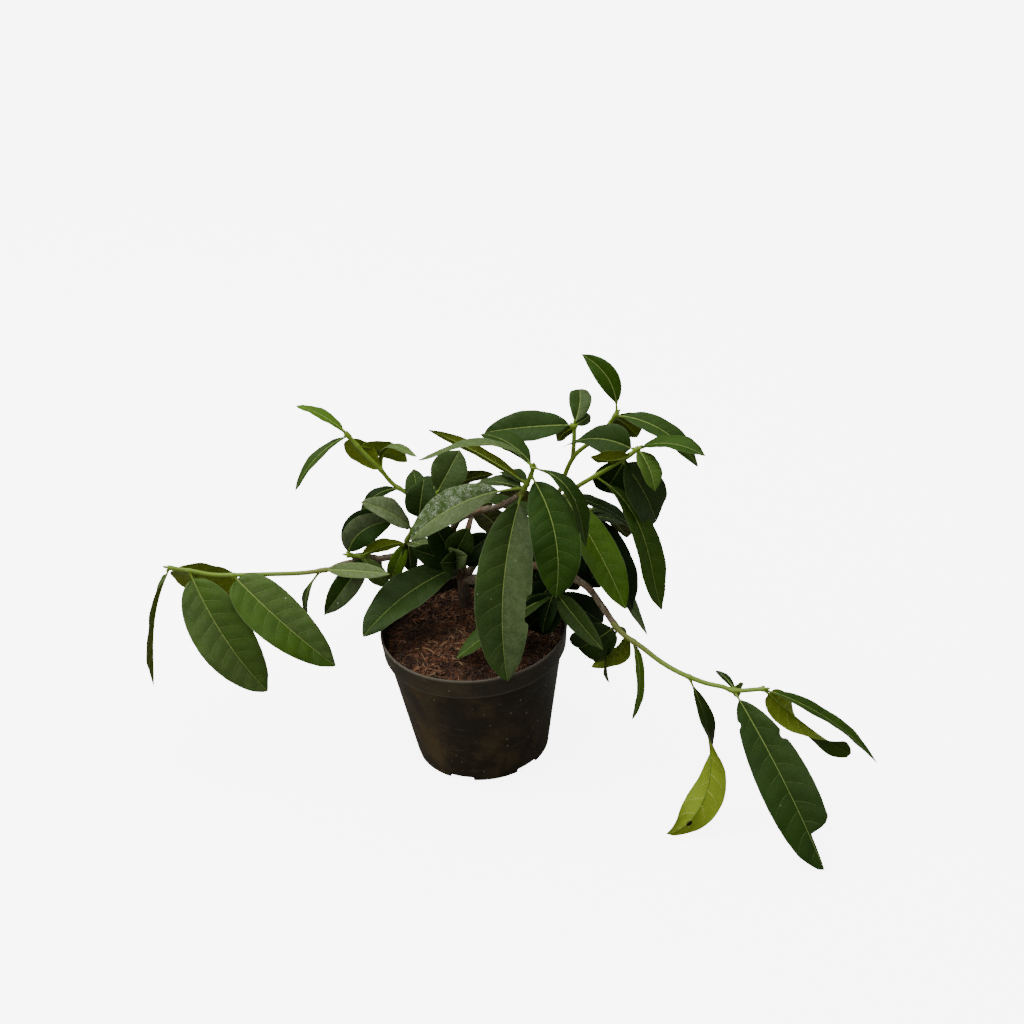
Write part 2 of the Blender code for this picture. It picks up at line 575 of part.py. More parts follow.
def make_pot(collection, cutters):
    """A tapered pot: a band under its rim, a notched foot ring, a middle pad and drain holes."""
    band_foot = POT_HEIGHT - BAND_HEIGHT
    floor = FOOT_LIFT + WALL
    inner_foot = FOOT_RADIUS - FOOT_WIDTH
    lip = WALL / 2
    profile = [
        (0.0, WALL),
        (PAD_RADIUS - lip, WALL),
        (PAD_RADIUS, floor),
        (outer_radius(floor) - WALL, floor),
        (outer_radius(band_foot) - WALL, band_foot),
        (RIM_RADIUS - BAND_TAPER - WALL, band_foot + WALL),
        (RIM_RADIUS - WALL, POT_HEIGHT - lip),
        (RIM_RADIUS - WALL + lip / 2, POT_HEIGHT),
        (RIM_RADIUS, POT_HEIGHT),
        (RIM_RADIUS + lip / 2, POT_HEIGHT - lip),
        (RIM_RADIUS + lip / 2, POT_HEIGHT - 3 * lip),
        (RIM_RADIUS, POT_HEIGHT - 4 * lip),
        (RIM_RADIUS - BAND_TAPER, band_foot),
        (outer_radius(band_foot), band_foot - lip),
        (outer_radius(FOOT_LIFT), FOOT_LIFT),
        (FOOT_RADIUS, 0.0),
        (inner_foot, 0.0),
        (inner_foot - lip, FOOT_LIFT),
        (PAD_RADIUS + lip, FOOT_LIFT),
        (PAD_RADIUS, 0.0),
        (0.0, 0.0),
    ]
    pot = turned("pot", profile, POT_SIDES, collection)
    for index in range(FOOT_NOTCHES):
        turn = Matrix.Rotation(math.tau * index / FOOT_NOTCHES + FOOT_NOTCH_TURN, 4, "Z")
        size = (2 * FOOT_WIDTH, FOOT_NOTCH_WIDTH, 2 * FOOT_NOTCH_HEIGHT)
        notch = box_cutter("foot_notch", size, cutters)
        notch.matrix_world = turn @ Matrix.Translation((FOOT_RADIUS - FOOT_WIDTH / 2, 0, 0))
        bpy.context.view_layer.update()
        boolean(pot, "DIFFERENCE", notch)
    for index in range(DRAIN_HOLES):
        turn = Matrix.Rotation(math.tau * (index + 0.5) / DRAIN_HOLES, 4, "Z")
        hole = rod_cutter("drain_hole", DRAIN_HOLE_RADIUS, 4 * FOOT_LIFT, DRAIN_HOLE_SIDES, cutters)
        hole.matrix_world = turn @ Matrix.Translation((DRAIN_CIRCLE, 0, FOOT_LIFT))
        bpy.context.view_layer.update()
        boolean(pot, "DIFFERENCE", hole)
    return pot


def make_soil(collection, cutters):
    """The root ball: it fills the pot, its top is uneven, and it has a plain hole for the trunk."""
    band_foot = POT_HEIGHT - BAND_HEIGHT
    clear = WALL + GAP
    edge = RIM_RADIUS - BAND_TAPER - clear
    profile = [(edge * step / SOIL_RINGS, SOIL_LEVEL) for step in range(SOIL_RINGS + 1)]
    profile += [
        (edge, band_foot + clear),
        (outer_radius(band_foot) - clear, band_foot),
        (outer_radius(FOOT_LIFT + clear) - clear, FOOT_LIFT + clear),
        (PAD_RADIUS - clear, FOOT_LIFT + clear),
        (PAD_RADIUS - clear, clear),
        (0.0, clear),
    ]
    soil = turned("soil", profile, SOIL_SIDES, collection)
    for vertex in soil.data.vertices:
        if vertex.co.z > SOIL_LEVEL - GAP:
            reach = Vector((vertex.co.x, vertex.co.y)).length / edge
            lump = noise.noise(vertex.co * SOIL_LUMPS)
            vertex.co.z += SOIL_RELIEF * lump - SOIL_RELIEF * reach ** 2
    hole = rod_cutter("trunk_hole", TRUNK_HOLE, 2 * TRUNK_SINK, TRUNK_HOLE_SIDES, cutters)
    hole.location = (TRUNK[0][0], TRUNK[0][1], SOIL_LEVEL - GAP)
    bpy.context.view_layer.update()
    boolean(soil, "DIFFERENCE", hole)
    return soil


def finish(item, material):
    item.data.materials.clear()
    item.data.materials.append(material)
    item.data.shade_smooth()
    item.data.set_sharp_from_angle(angle=SMOOTH_ANGLE)


def main():
    clear_scene()
    parts = new_collection("potted_cherry_laurel")
    cutters = new_collection("cutters")
    finish(make_pot(parts, cutters), new_material("pot_plastic", (0.030, 0.026, 0.022), 0.55))
    finish(make_soil(parts, cutters), new_material("soil_fibre", (0.090, 0.036, 0.018), 0.95))
    finish(make_wood(parts), new_material("bark", (0.105, 0.075, 0.045), 0.85))
    for name, shoot in SHOOTS.items():
        leaves = new_material(name + "_leaves", shoot.colour, 0.42)
        finish(make_shoot(name, shoot, parts), leaves)
    bpy.data.collections.remove(cutters)


if __name__ == "__main__":
    main()
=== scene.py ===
# %% [markdown]
# A young cherry laurel in a black nursery pot, dressed for a close look. The packed model gives
# the place and size of every piece. This lesson makes each one again, finer, and gives it its finish.
# It goes from the camera and the light to the pot, the compost in it, the wood, and then the twelve
# leafy shoots. Each finish comes just before the piece that wears it.

# %% The packed model
import math
import random
from collections import namedtuple

import bmesh
import bpy
import numpy as np
from mathutils import Matrix, Vector, noise


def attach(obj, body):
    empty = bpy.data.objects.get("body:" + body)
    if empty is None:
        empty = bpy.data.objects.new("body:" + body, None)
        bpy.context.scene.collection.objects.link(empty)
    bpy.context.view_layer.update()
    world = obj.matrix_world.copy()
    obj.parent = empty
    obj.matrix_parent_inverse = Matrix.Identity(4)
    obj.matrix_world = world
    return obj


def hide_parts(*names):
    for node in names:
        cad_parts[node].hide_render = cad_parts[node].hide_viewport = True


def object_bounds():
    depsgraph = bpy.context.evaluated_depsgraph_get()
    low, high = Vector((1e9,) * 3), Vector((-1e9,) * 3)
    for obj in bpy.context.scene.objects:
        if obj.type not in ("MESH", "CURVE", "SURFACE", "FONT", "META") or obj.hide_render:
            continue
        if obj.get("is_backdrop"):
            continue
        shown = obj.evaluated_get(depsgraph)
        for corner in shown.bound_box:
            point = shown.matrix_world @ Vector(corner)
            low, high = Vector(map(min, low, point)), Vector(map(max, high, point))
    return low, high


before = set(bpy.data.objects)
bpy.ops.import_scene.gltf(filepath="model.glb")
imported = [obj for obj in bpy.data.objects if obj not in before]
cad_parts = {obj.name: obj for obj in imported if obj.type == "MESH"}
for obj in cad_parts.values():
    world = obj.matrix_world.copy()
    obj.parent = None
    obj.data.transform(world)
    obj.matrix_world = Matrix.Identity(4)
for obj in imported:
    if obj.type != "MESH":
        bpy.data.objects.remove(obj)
cad_box = [list(corner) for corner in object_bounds()]
print("packed model", [round(value, 3) for corner in cad_box for value in corner])

# %% [markdown]
# The camera stands 1.5 m away and looks down on the pot at 31 degrees, turned a little about its own
# axis. It could be placed by eye, but its lens and place come from the pot: the rim and the foot are
# level circles, and the shapes of their outlines in the picture fix the view.

# %% Camera
CAMERA_TILT = math.radians(31.2)
CAMERA_ROLL = math.radians(4.07)
CAMERA_DISTANCE = 1.5
CAMERA_TARGET = Vector((0.0422, 0.0, 0.2482))
SENSOR_WIDTH = 36.0
LENS = 60.2


def add_object(name, data):
    thing = bpy.data.objects.new(name, data)
    bpy.context.scene.collection.objects.link(thing)
    return thing


def add_camera():
    data = bpy.data.cameras.new("camera")
    data.sensor_width = SENSOR_WIDTH
    data.lens = LENS
    camera = add_object("camera", data)
    ahead = Vector((0.0, math.cos(CAMERA_TILT), -math.sin(CAMERA_TILT)))
    level = Vector((1.0, 0.0, 0.0))
    upright = level.cross(ahead)
    right = level * math.cos(CAMERA_ROLL) - upright * math.sin(CAMERA_ROLL)
    up = level * math.sin(CAMERA_ROLL) + upright * math.cos(CAMERA_ROLL)
    turn = Matrix((right, up, -ahead)).transposed()
    camera.matrix_world = Matrix.Translation(CAMERA_TARGET - ahead * CAMERA_DISTANCE) @ turn.to_4x4()
    bpy.context.scene.camera = camera
    return camera


print("camera at", [round(value, 3) for value in add_camera().location])

# %% [markdown]
# Light, floor and finishes are all made of shader nodes. They can be placed and linked one by one,
# which takes four lines a node. These helpers make a node, feed its sockets with a value or with
# another node's output, and return what it puts out, so a recipe reads from the inside out, like a sum.

# %% Wiring nodes
def feed(tree, socket, value):
    if isinstance(value, bpy.types.NodeSocket):
        tree.links.new(value, socket)
    else:
        socket.default_value = value


def fill(tree, node, inputs):
    for name, value in inputs.items():
        feed(tree, node.inputs[name.replace("_", " ")], value)
    return node


def add_node(tree, kind, **inputs):
    return fill(tree, tree.nodes.new(kind), inputs)


def maths(tree, operation, *values):
    made = tree.nodes.new("ShaderNodeMath")
    made.operation = operation
    for socket, value in zip(made.inputs, values):
        feed(tree, socket, value)
    return made.outputs[0]


def times(tree, first, second):
    return maths(tree, "MULTIPLY", first, second)


def plus(tree, first, second):
    return maths(tree, "ADD", first, second)


print("helpers:", ", ".join(helper.__name__ for helper in (feed, fill, add_node, maths, times, plus)))

# %% [markdown]
# A finish is mostly colours laid over each other, each where a mask lets it show. A mask is a number
# that changes over the surface. Coats lays a list of colours, and a band turns any number into a soft
# mask, which is easier to set by its two ends than a colour ramp.

# %% Colours and masks
# A Mix node has sockets of every type. These are the ones it uses for colours.
MIX_SHARE, MIX_FIRST, MIX_SECOND, MIX_RESULT = 0, 6, 7, 2


def blend(tree, share, first, second):
    """The first colour, with a share of the second over it."""
    made = tree.nodes.new("ShaderNodeMix")
    made.data_type = "RGBA"
    for socket, value in ((MIX_SHARE, share), (MIX_FIRST, first), (MIX_SECOND, second)):
        feed(tree, made.inputs[socket], value)
    return made.outputs[MIX_RESULT]


def coats(tree, colour, *layers):
    """Colours over a first one. Each layer is its mask, how much it covers there, and its colour."""
    for mask, cover, paint in layers:
        colour = blend(tree, times(tree, mask, cover), colour, paint)
    return colour


def band(tree, value, low, high, start=0.0, end=1.0):
    """Start below low, end above high, and a soft step between."""
    made = tree.nodes.new("ShaderNodeMapRange")
    made.interpolation_type = "SMOOTHSTEP"
    for socket, number in zip(made.inputs, (value, low, high, start, end)):
        feed(tree, socket, number)
    return made.outputs[0]


print("helpers:", ", ".join(helper.__name__ for helper in (blend, coats, band)))

# %% [markdown]
# Where on the piece a point lies decides how dirty, mottled or grainy it is there. So the recipes need
# the point's place, values that the mesh carries, and noise. Stretching the place before it goes into
# the noise turns round blotches into streaks.

# %% Places and noise
def own_place(tree):
    return tree.nodes.new("ShaderNodeTexCoord").outputs["Object"]


def value_of(tree, name):
    made = tree.nodes.new("ShaderNodeAttribute")
    made.attribute_name = name
    return made.outputs["Vector"]


def split(tree, vector):
    made = add_node(tree, "ShaderNodeSeparateXYZ", Vector=vector)
    return made.outputs[0], made.outputs[1], made.outputs[2]


def stretched(tree, place, factors):
    made = tree.nodes.new("ShaderNodeVectorMath")
    made.operation = "MULTIPLY"
    feed(tree, made.inputs[0], place)
    feed(tree, made.inputs[1], factors)
    return made.outputs[0]


def cloud(tree, place, scale, detail=4.0, roughness=0.55):
    made = add_node(tree, "ShaderNodeTexNoise", Vector=place, Scale=scale, Detail=detail,
                    Roughness=roughness)
    return made.outputs["Fac"]


def cells(tree, place, scale):
    return add_node(tree, "ShaderNodeTexVoronoi", Vector=place, Scale=scale)


helpers = (own_place, value_of, split, stretched, cloud)
print("helpers:", ", ".join(helper.__name__ for helper in helpers))

# %% [markdown]
# The light on the plant is that of an open, even sky. It comes from overhead, and little comes back
# from below: what faces up has a grey sheen, and what faces the camera or hangs under other leaves
# is dark. A broad lamp overhead gives the shade a direction, and two weak ones open it up from the
# front and the left. One strong lamp would be simpler, but its shadows would be hard.

# %% Lamps
Lamp = namedtuple("Lamp", "name place size watts colour")
LAMPS = [
    Lamp("overhead", (-1.0, 0.3, 2.2), 1.3, 54.0, (1.0, 0.99, 0.96)),
    Lamp("front", (-0.7, -1.8, 1.7), 0.9, 8.0, (1.0, 0.98, 0.94)),
    Lamp("left", (-2.0, -0.5, 0.7), 0.8, 6.0, (1.0, 0.97, 0.90)),
]
LAMP_AIM = Vector((0.0, 0.0, 0.15))


def add_lamp(lamp):
    data = bpy.data.lights.new(lamp.name, "AREA")
    data.size = lamp.size
    data.energy = lamp.watts
    data.color = lamp.colour
    light = add_object(lamp.name, data)
    light.location = lamp.place
    light.rotation_mode = "QUATERNION"
    light.rotation_quaternion = (LAMP_AIM - Vector(lamp.place)).to_track_quat("-Z", "Y")


for lamp in LAMPS:
    add_lamp(lamp)
print("lamps:", len(LAMPS), "with", sum(lamp.watts for lamp in LAMPS), "W in all")

# %% [markdown]
# The sky itself is a world that is bright at its top and dim at its horizon. An even white world is
# the usual studio choice, but it lights the leaves from below too, and they look like paper. The
# camera sees plain white instead, so the backdrop stays pale.

# %% Sky
ZENITH = (2.20, 2.25, 2.20, 1.0)
HORIZON = (0.16, 0.16, 0.15, 1.0)
PALE = (5.0, 5.0, 5.0, 1.0)
SKY_DIM_BELOW = 0.20
SKY_BRIGHT_ABOVE = 0.95


def seen_by_camera(tree):
    return tree.nodes.new("ShaderNodeLightPath").outputs["Is Camera Ray"]


def set_sky():
    world = bpy.data.worlds.new("sky")
    world.use_nodes = True
    tree = world.node_tree
    height = split(tree, tree.nodes.new("ShaderNodeTexCoord").outputs["Generated"])[2]
    sky = blend(tree, band(tree, height, SKY_DIM_BELOW, SKY_BRIGHT_ABOVE), HORIZON, ZENITH)
    feed(tree, tree.nodes["Background"].inputs["Color"], blend(tree, seen_by_camera(tree), sky, PALE))
    bpy.context.scene.world = world
    return world


print("world:", set_sky().name)

# %% [markdown]
# The floor is one large square, pale for the camera only. To every other ray it is darker, so that it
# doesn't throw light up under the leaves. A shadow catcher would need compositing, and this doesn't.

# %% Floor
FLOOR_SIZE = 14.0
FLOOR_SEEN = (0.90, 0.90, 0.90, 1.0)
FLOOR_LIT = (0.22, 0.21, 0.19, 1.0)
FLOOR_GLOW = 6.5


def new_material(name, roughness, specular):
    material = bpy.data.materials.new(name)
    material.use_nodes = True
    shader = material.node_tree.nodes["Principled BSDF"]
    shader.inputs["Roughness"].default_value = roughness
    shader.inputs["Specular IOR Level"].default_value = specular
    return material, material.node_tree, shader


def object_from(bm, name):
    mesh = bpy.data.meshes.new(name)
    bm.to_mesh(mesh)
    bm.free()
    return add_object(name, mesh)


def add_floor():
    bm = bmesh.new()
    bmesh.ops.create_grid(bm, x_segments=1, y_segments=1, size=FLOOR_SIZE / 2)
    floor = object_from(bm, "floor")
    material, tree, shader = new_material("pale floor", roughness=0.9, specular=0.0)
    seen = seen_by_camera(tree)
    feed(tree, shader.inputs["Base Color"], blend(tree, seen, FLOOR_LIT, FLOOR_SEEN))
    feed(tree, shader.inputs["Emission Strength"], times(tree, seen, FLOOR_GLOW))
    shader.inputs["Emission Color"].default_value = FLOOR_SEEN
    floor.data.materials.append(material)
    floor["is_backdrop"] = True


add_floor()
print("floor:", FLOOR_SIZE, "m")

# %% [markdown]
# Dust lies on the pot, on the bark and in specks on the leaves. It is one effect with its own size and
# amount in each, so it is a node group: built once, and placed in each material with its own
# numbers. It is a cloudy film broken by a finer grain, and a few hard specks, each in a cell of its own.

# %% Dust group
FLOAT = "NodeSocketFloat"
VECTOR = "NodeSocketVector"
GRAIN_PER_FILM = 14.0
FILM_SOFTNESS = 0.22
SPECK_CORE = 0.10
SPECK_RIM = 0.22


def new_group(name, inputs, outputs):
    """A node group. An input is its name and first value, or its name and None for a place."""
    group = bpy.data.node_groups.new(name, "ShaderNodeTree")
    for label, value in inputs.items():
        kind = VECTOR if value is None else FLOAT
        socket = group.interface.new_socket(label, in_out="INPUT", socket_type=kind)
        if value is not None:
            socket.default_value = value
    for label in outputs:
        group.interface.new_socket(label, in_out="OUTPUT", socket_type=FLOAT)
    return group, group.nodes.new("NodeGroupInput").outputs, group.nodes.new("NodeGroupOutput").inputs


def dust_group():
    group, given, out = new_group(
        "Dust",
        {"Place": None, "Film Scale": 20.0, "Film Amount": 0.5, "Speck Scale": 200.0,
         "Speck Amount": 0.2},
        ("Film", "Specks", "Height"))
    wide = cloud(group, given["Place"], given["Film Scale"])
    grain = cloud(group, given["Place"], times(group, given["Film Scale"], GRAIN_PER_FILM), 6.0, 0.7)
    least = maths(group, "SUBTRACT", 0.85, times(group, given["Film Amount"], 0.55))
    film = band(group, plus(group, times(group, wide, 0.7), times(group, grain, 0.3)),
                least, plus(group, least, FILM_SOFTNESS))
    crowd = cells(group, given["Place"], given["Speck Scale"])
    chosen = band(group, split(group, crowd.outputs["Color"])[0],
                  maths(group, "SUBTRACT", 1.0, given["Speck Amount"]), 1.001)
    near = band(group, crowd.outputs["Distance"], SPECK_CORE, SPECK_RIM, 1.0, 0.0)
    specks = times(group, near, maths(group, "GREATER_THAN", chosen, 0.01))
    feed(group, out["Film"], film)
    feed(group, out["Specks"], specks)
    feed(group, out["Height"], plus(group, times(group, film, 0.3), specks))
    return group


DUST = dust_group()
print("group", DUST.name, [socket.name for socket in DUST.interface.items_tree])

# %% [markdown]
# The pot is thin black plastic, out of doors for a season. Soil has dried on it as a brown film,
# thickest low down. The film is also made heavier on the left, as painted light from that side.
# The rim and the foot of its band are rubbed paler, a painted shadow lies as a dark line under
# the band, and there are scuffs and pale specks. Each of these is a mask made from height or noise.
# Painting them would need a picture and a map of the surface.

# %% Pot material
POT_HEIGHT = 0.131
BAND_HEIGHT = 0.020
BAND_FOOT = POT_HEIGHT - BAND_HEIGHT
POT_BLACK = (0.0068, 0.0054, 0.0032, 1.0)
POT_BROWN = (0.050, 0.034, 0.015, 1.0)
POT_GREY = (0.030, 0.028, 0.023, 1.0)
POT_PALE = (0.085, 0.075, 0.060, 1.0)
POT_SPECK = (0.23, 0.20, 0.15, 1.0)
STREAK_STRETCH = (150.0, 150.0, 14.0)
SCUFF_STRETCH = (40.0, 40.0, 300.0)
STAIN_SCALE = 32.0


def place_group(tree, group, **inputs):
    made = tree.nodes.new("ShaderNodeGroup")
    made.node_tree = group
    return fill(tree, made, inputs).outputs


def bump(tree, shader, height, strength, distance):
    made = add_node(tree, "ShaderNodeBump", Height=height, Strength=strength, Distance=distance)
    tree.links.new(made.outputs[0], shader.inputs["Normal"])


def pot_film_and_left_light(tree, dust, sideways, height):
    """Dried soil: thick low down, in streaks that run down the wall, and heavier on the left as painted
    light.
    """
    streaks = cloud(tree, stretched(tree, own_place(tree), STREAK_STRETCH), 1.0, 5.0, 0.6)
    low = band(tree, height, 0.004, 0.115, 1.0, 0.60)
    film = times(tree, plus(tree, dust["Film"], 0.45), low)
    film = times(tree, film, plus(tree, streaks, 0.4))
    # Heavier on the left and thinner on the right: painted light from the left, laid over the soil film.
    return times(tree, film, band(tree, sideways, -0.080, 0.050, 1.75, 0.50))


def pot_material():
    material, tree, shader = new_material("nursery pot plastic", roughness=0.6, specular=0.12)
    place = own_place(tree)
    sideways, _, height = split(tree, place)
    dust = place_group(tree, DUST, Place=place, Film_Scale=17.0, Film_Amount=0.72, Speck_Scale=210.0,
                       Speck_Amount=0.10)
    # The film is real dried soil together with painted light on the pot's left side.
    film = pot_film_and_left_light(tree, dust, sideways, height)
    scuffs = cloud(tree, stretched(tree, place, SCUFF_STRETCH), 1.0, 6.0, 0.7)
    rubbed = band(tree, scuffs, 0.56, 0.72)
    stains = band(tree, cloud(tree, place, STAIN_SCALE, 6.0, 0.65), 0.40, 0.62, 0.35, 1.0)
    lip = band(tree, height, POT_HEIGHT - 0.0030, POT_HEIGHT - 0.0008)
    on_band = band(tree, height, BAND_FOOT - 0.0006, BAND_FOOT + 0.0006)
    near_foot = band(tree, height, BAND_FOOT + 0.0008, BAND_FOOT + 0.0026, 1.0, 0.0)
    foot_line = times(tree, on_band, near_foot)
    # Painted shadow: a dark line just under the band's overhang.
    band_shadow_line = times(tree, band(tree, height, BAND_FOOT - 0.0045, BAND_FOOT - 0.0010),
                      maths(tree, "SUBTRACT", 1.0, on_band))
    feed(tree, shader.inputs["Base Color"], coats(
        tree, POT_BLACK, (film, stains, POT_BROWN), (on_band, 0.30, POT_GREY),
        (foot_line, 0.35, POT_PALE),
        (band_shadow_line, 0.8, POT_BLACK), (rubbed, 0.3, POT_PALE), (lip, 0.55, POT_PALE),
        (dust["Specks"], 0.65, POT_SPECK)))
    feed(tree, shader.inputs["Roughness"], plus(tree, times(tree, film, 0.35), 0.42))
    relief = plus(tree, times(tree, scuffs, 0.4), times(tree, dust["Height"], 0.5))
    bump(tree, shader, relief, 0.35, 0.0005)
    return material


POT = pot_material()
print("material", POT.name)

# %% [markdown]
# The pot is turned: its profile is a closed line, and the Screw modifier sweeps it round. Bevelling
# the profile's corners first is cheaper than bevelling the whole pot afterwards, and gives the soft
# rolled rim of thin moulded plastic.

# %% The pot's profile
RIM_RADIUS = 0.085
FOOT_RADIUS = 0.062
BAND_STEP = 0.0035
BAND_TAPER = 0.0015
WALL = 0.0016
FOOT_LIFT = 0.005
FOOT_WIDTH = 0.010
PAD_RADIUS = 0.020
WALL_STOPS = (0.040, 0.0385)


def outer_radius(height):
    """The pot wall's outer radius below the band."""
    top = RIM_RADIUS - BAND_TAPER - BAND_STEP
    return FOOT_RADIUS + (top - FOOT_RADIUS) * height / BAND_FOOT


def pot_profile():
    floor = FOOT_LIFT + WALL
    inner_foot = FOOT_RADIUS - FOOT_WIDTH
    lip = WALL / 2
    inside = [(0.0, WALL), (PAD_RADIUS - lip, WALL), (PAD_RADIUS, floor),
              (outer_radius(floor) - WALL, floor), (outer_radius(BAND_FOOT) - WALL, BAND_FOOT),
              (RIM_RADIUS - BAND_TAPER - WALL, BAND_FOOT + WALL), (RIM_RADIUS - WALL, POT_HEIGHT - lip)]
    rim = [(RIM_RADIUS - WALL + lip / 2, POT_HEIGHT), (RIM_RADIUS, POT_HEIGHT),
           (RIM_RADIUS + lip / 2, POT_HEIGHT - lip), (RIM_RADIUS + lip / 2, POT_HEIGHT - 3 * lip),
           (RIM_RADIUS, POT_HEIGHT - 4 * lip), (RIM_RADIUS - BAND_TAPER, BAND_FOOT),
           (outer_radius(BAND_FOOT), BAND_FOOT - lip)]
    outside = [(outer_radius(height), height) for height in WALL_STOPS + (FOOT_LIFT,)]
    foot = [(FOOT_RADIUS, 0.0), (inner_foot, 0.0), (inner_foot - lip, FOOT_LIFT),
            (PAD_RADIUS + lip, FOOT_LIFT), (PAD_RADIUS, 0.0), (0.0, 0.0)]
    return inside + rim + outside + foot


print("profile points:", len(pot_profile()))

# %% [markdown]
# The sweep takes 160 steps, so that the rim looks round from near by. Code that places every ring
# of points would work too, but the modifier also joins the points on the axis.

# %% Turning
POT_STEPS = 160
CORNER = 0.0006
CORNER_SEGMENTS = 3


def evaluated(piece):
    return bpy.data.meshes.new_from_object(piece.evaluated_get(bpy.context.evaluated_depsgraph_get()))


def turned(name, profile, steps):
    bm = bmesh.new()
    points = [bm.verts.new((radius, 0.0, height)) for radius, height in profile]
    for first, second in zip(points, points[1:] + points[:1]):
        bm.edges.new((first, second))
    soft = [point for point in bm.verts if point.co.x > CORNER]
    bmesh.ops.bevel(bm, geom=soft, offset=CORNER, segments=CORNER_SEGMENTS, profile=0.5,
                    affect="VERTICES", clamp_overlap=True)
    piece = object_from(bm, name)
    screw = piece.modifiers.new("turn", "SCREW")
    screw.steps = steps
    screw.render_steps = steps
    screw.use_merge_vertices = True
    screw.merge_threshold = 1e-5
    piece.data = evaluated(piece)
    piece.modifiers.clear()
    return piece


pot = turned("pot_shell", pot_profile(), POT_STEPS)
print("turned pot:", len(pot.data.polygons), "faces")

# %% [markdown]
# Water leaves the pot through holes in its floor and notches in its foot. They are cut out of the
# turned shell with exact booleans. Leaving faces out of the sweep would be simpler, but it would give
# jagged edges that follow the steps of the sweep.

# %% Notches and drain holes
FOOT_NOTCHES = 6
FOOT_NOTCH_WIDTH = 0.023
FOOT_NOTCH_HEIGHT = 0.004
FOOT_NOTCH_TURN = math.radians(-50)
FOOT_NOTCH_CORNER = 0.0012
DRAIN_HOLES = 6
DRAIN_HOLE_RADIUS = 0.004
DRAIN_HOLE_SIDES = 24
DRAIN_CIRCLE = 0.036


def cut(piece, cutter):
    modifier = piece.modifiers.new("cut", "BOOLEAN")
    modifier.operation = "DIFFERENCE"
    modifier.solver = "EXACT"
    modifier.object = cutter
    bpy.context.view_layer.update()
    piece.data = evaluated(piece)
    piece.modifiers.clear()
    bpy.data.objects.remove(cutter)


def foot_notch(index):
    bm = bmesh.new()
    bmesh.ops.create_cube(bm, size=1.0)
    bmesh.ops.scale(bm, vec=(2 * FOOT_WIDTH, FOOT_NOTCH_WIDTH, 2 * FOOT_NOTCH_HEIGHT), verts=bm.verts)
    upright = [edge for edge in bm.edges if abs(edge.verts[0].co.x - edge.verts[1].co.x) > FOOT_WIDTH]
    bmesh.ops.bevel(bm, geom=upright, offset=FOOT_NOTCH_CORNER, segments=3, profile=0.5, affect="EDGES")
    notch = object_from(bm, "cutter")
    turn = Matrix.Rotation(math.tau * index / FOOT_NOTCHES + FOOT_NOTCH_TURN, 4, "Z")
    notch.matrix_world = turn @ Matrix.Translation((FOOT_RADIUS - FOOT_WIDTH / 2, 0, 0))
    return notch


def drain_hole(index):
    bm = bmesh.new()
    bmesh.ops.create_cone(bm, cap_ends=True, segments=DRAIN_HOLE_SIDES, radius1=DRAIN_HOLE_RADIUS,
                          radius2=DRAIN_HOLE_RADIUS, depth=4 * FOOT_LIFT)
    hole = object_from(bm, "cutter")
    turn = Matrix.Rotation(math.tau * (index + 0.5) / DRAIN_HOLES, 4, "Z")
    hole.matrix_world = turn @ Matrix.Translation((DRAIN_CIRCLE, 0, FOOT_LIFT))
    return hole


print("cuts to come:", FOOT_NOTCHES, "notches and", DRAIN_HOLES, "holes")

# %% [markdown]
# A thin pot that has been handled is never quite round. Broad noise moves its wall in and out by up to
# half a millimetre before the cuts are made, so that each cut stays true. Then the pot stands in for
# its node of the packed model and rides with it.

# %% Pot
DENT = 0.0005
DENTS_PER_METRE = 22.0
STIFF_FOOT = 0.02
POT_SHARP = math.radians(40)


def dress(piece, node):
    """The piece stands for its node of the packed model, and rides with it."""
    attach(piece, "root")
    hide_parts(node)


def dent(pot):
    for vertex in pot.data.vertices:
        reach = Vector((vertex.co.x, vertex.co.y, 0.0))
        if reach.length > PAD_RADIUS * 2:
            depth = DENT * noise.noise(vertex.co * DENTS_PER_METRE) * min(1.0, vertex.co.z / STIFF_FOOT)
            vertex.co += reach.normalized() * depth


dent(pot)
for index in range(FOOT_NOTCHES):
    cut(pot, foot_notch(index))
for index in range(DRAIN_HOLES):
    cut(pot, drain_hole(index))
pot.data.materials.clear()
pot.data.materials.append(POT)
pot.data.shade_smooth()
pot.data.set_sharp_from_angle(angle=POT_SHARP)
dress(pot, "pot")
print("pot faces:", len(pot.data.polygons))

# %% [markdown]
# A mesh can be made face by face with an operator, but thousands of small forms are much faster
# as lists that become one mesh at the end. A Pile gathers points, faces and named values, which
# the materials read later as attributes, such as how far along its leaf a point lies. A slot says
# which material a form takes, or each of its faces.

# %% A pile of points and faces
class Pile:
    def __init__(self, *value_names):
        self.points = []
        self.faces = []
        self.slots = []
        self.values = {name: [] for name in value_names}
        self.count = 0

    def add(self, points, faces, slot=0, **values):
        base = self.count
        self.count += len(points)
        self.points.append(np.asarray(points, float))
        self.faces += [tuple(base + corner for corner in face) for face in faces]
        self.slots += slot if isinstance(slot, list) else [slot] * len(faces)
        for name, blocks in self.values.items():
            blocks.append(np.asarray(values.get(name, np.zeros((len(points), 3))), float))

    def make(self, name, materials, sharp=math.radians(50)):
        mesh = bpy.data.meshes.new(name)
        mesh.from_pydata(np.concatenate(self.points).tolist(), [], self.faces)
        for value_name, blocks in self.values.items():
            layer = mesh.attributes.new(value_name, "FLOAT_VECTOR", "POINT")
            layer.data.foreach_set("vector", np.concatenate(blocks).astype(np.float32).ravel())
        for material in materials:
            mesh.materials.append(material)
        mesh.polygons.foreach_set("material_index", self.slots)
        mesh.shade_smooth()
        mesh.set_sharp_from_angle(angle=sharp)
        return add_object(name, mesh)


print("an empty pile:", vars(Pile("place")))

# %% [markdown]
# The compost is shredded bark and coir: red-brown crumbs with darker holes, and straw-pale fibres on
# top. The crumbs get their colour from noise. Each loose fibre and chip carries its own shade,
# from nearly black through red-brown to straw, because one noise over all of them would make
# neighbours alike, and in a real heap they aren't.

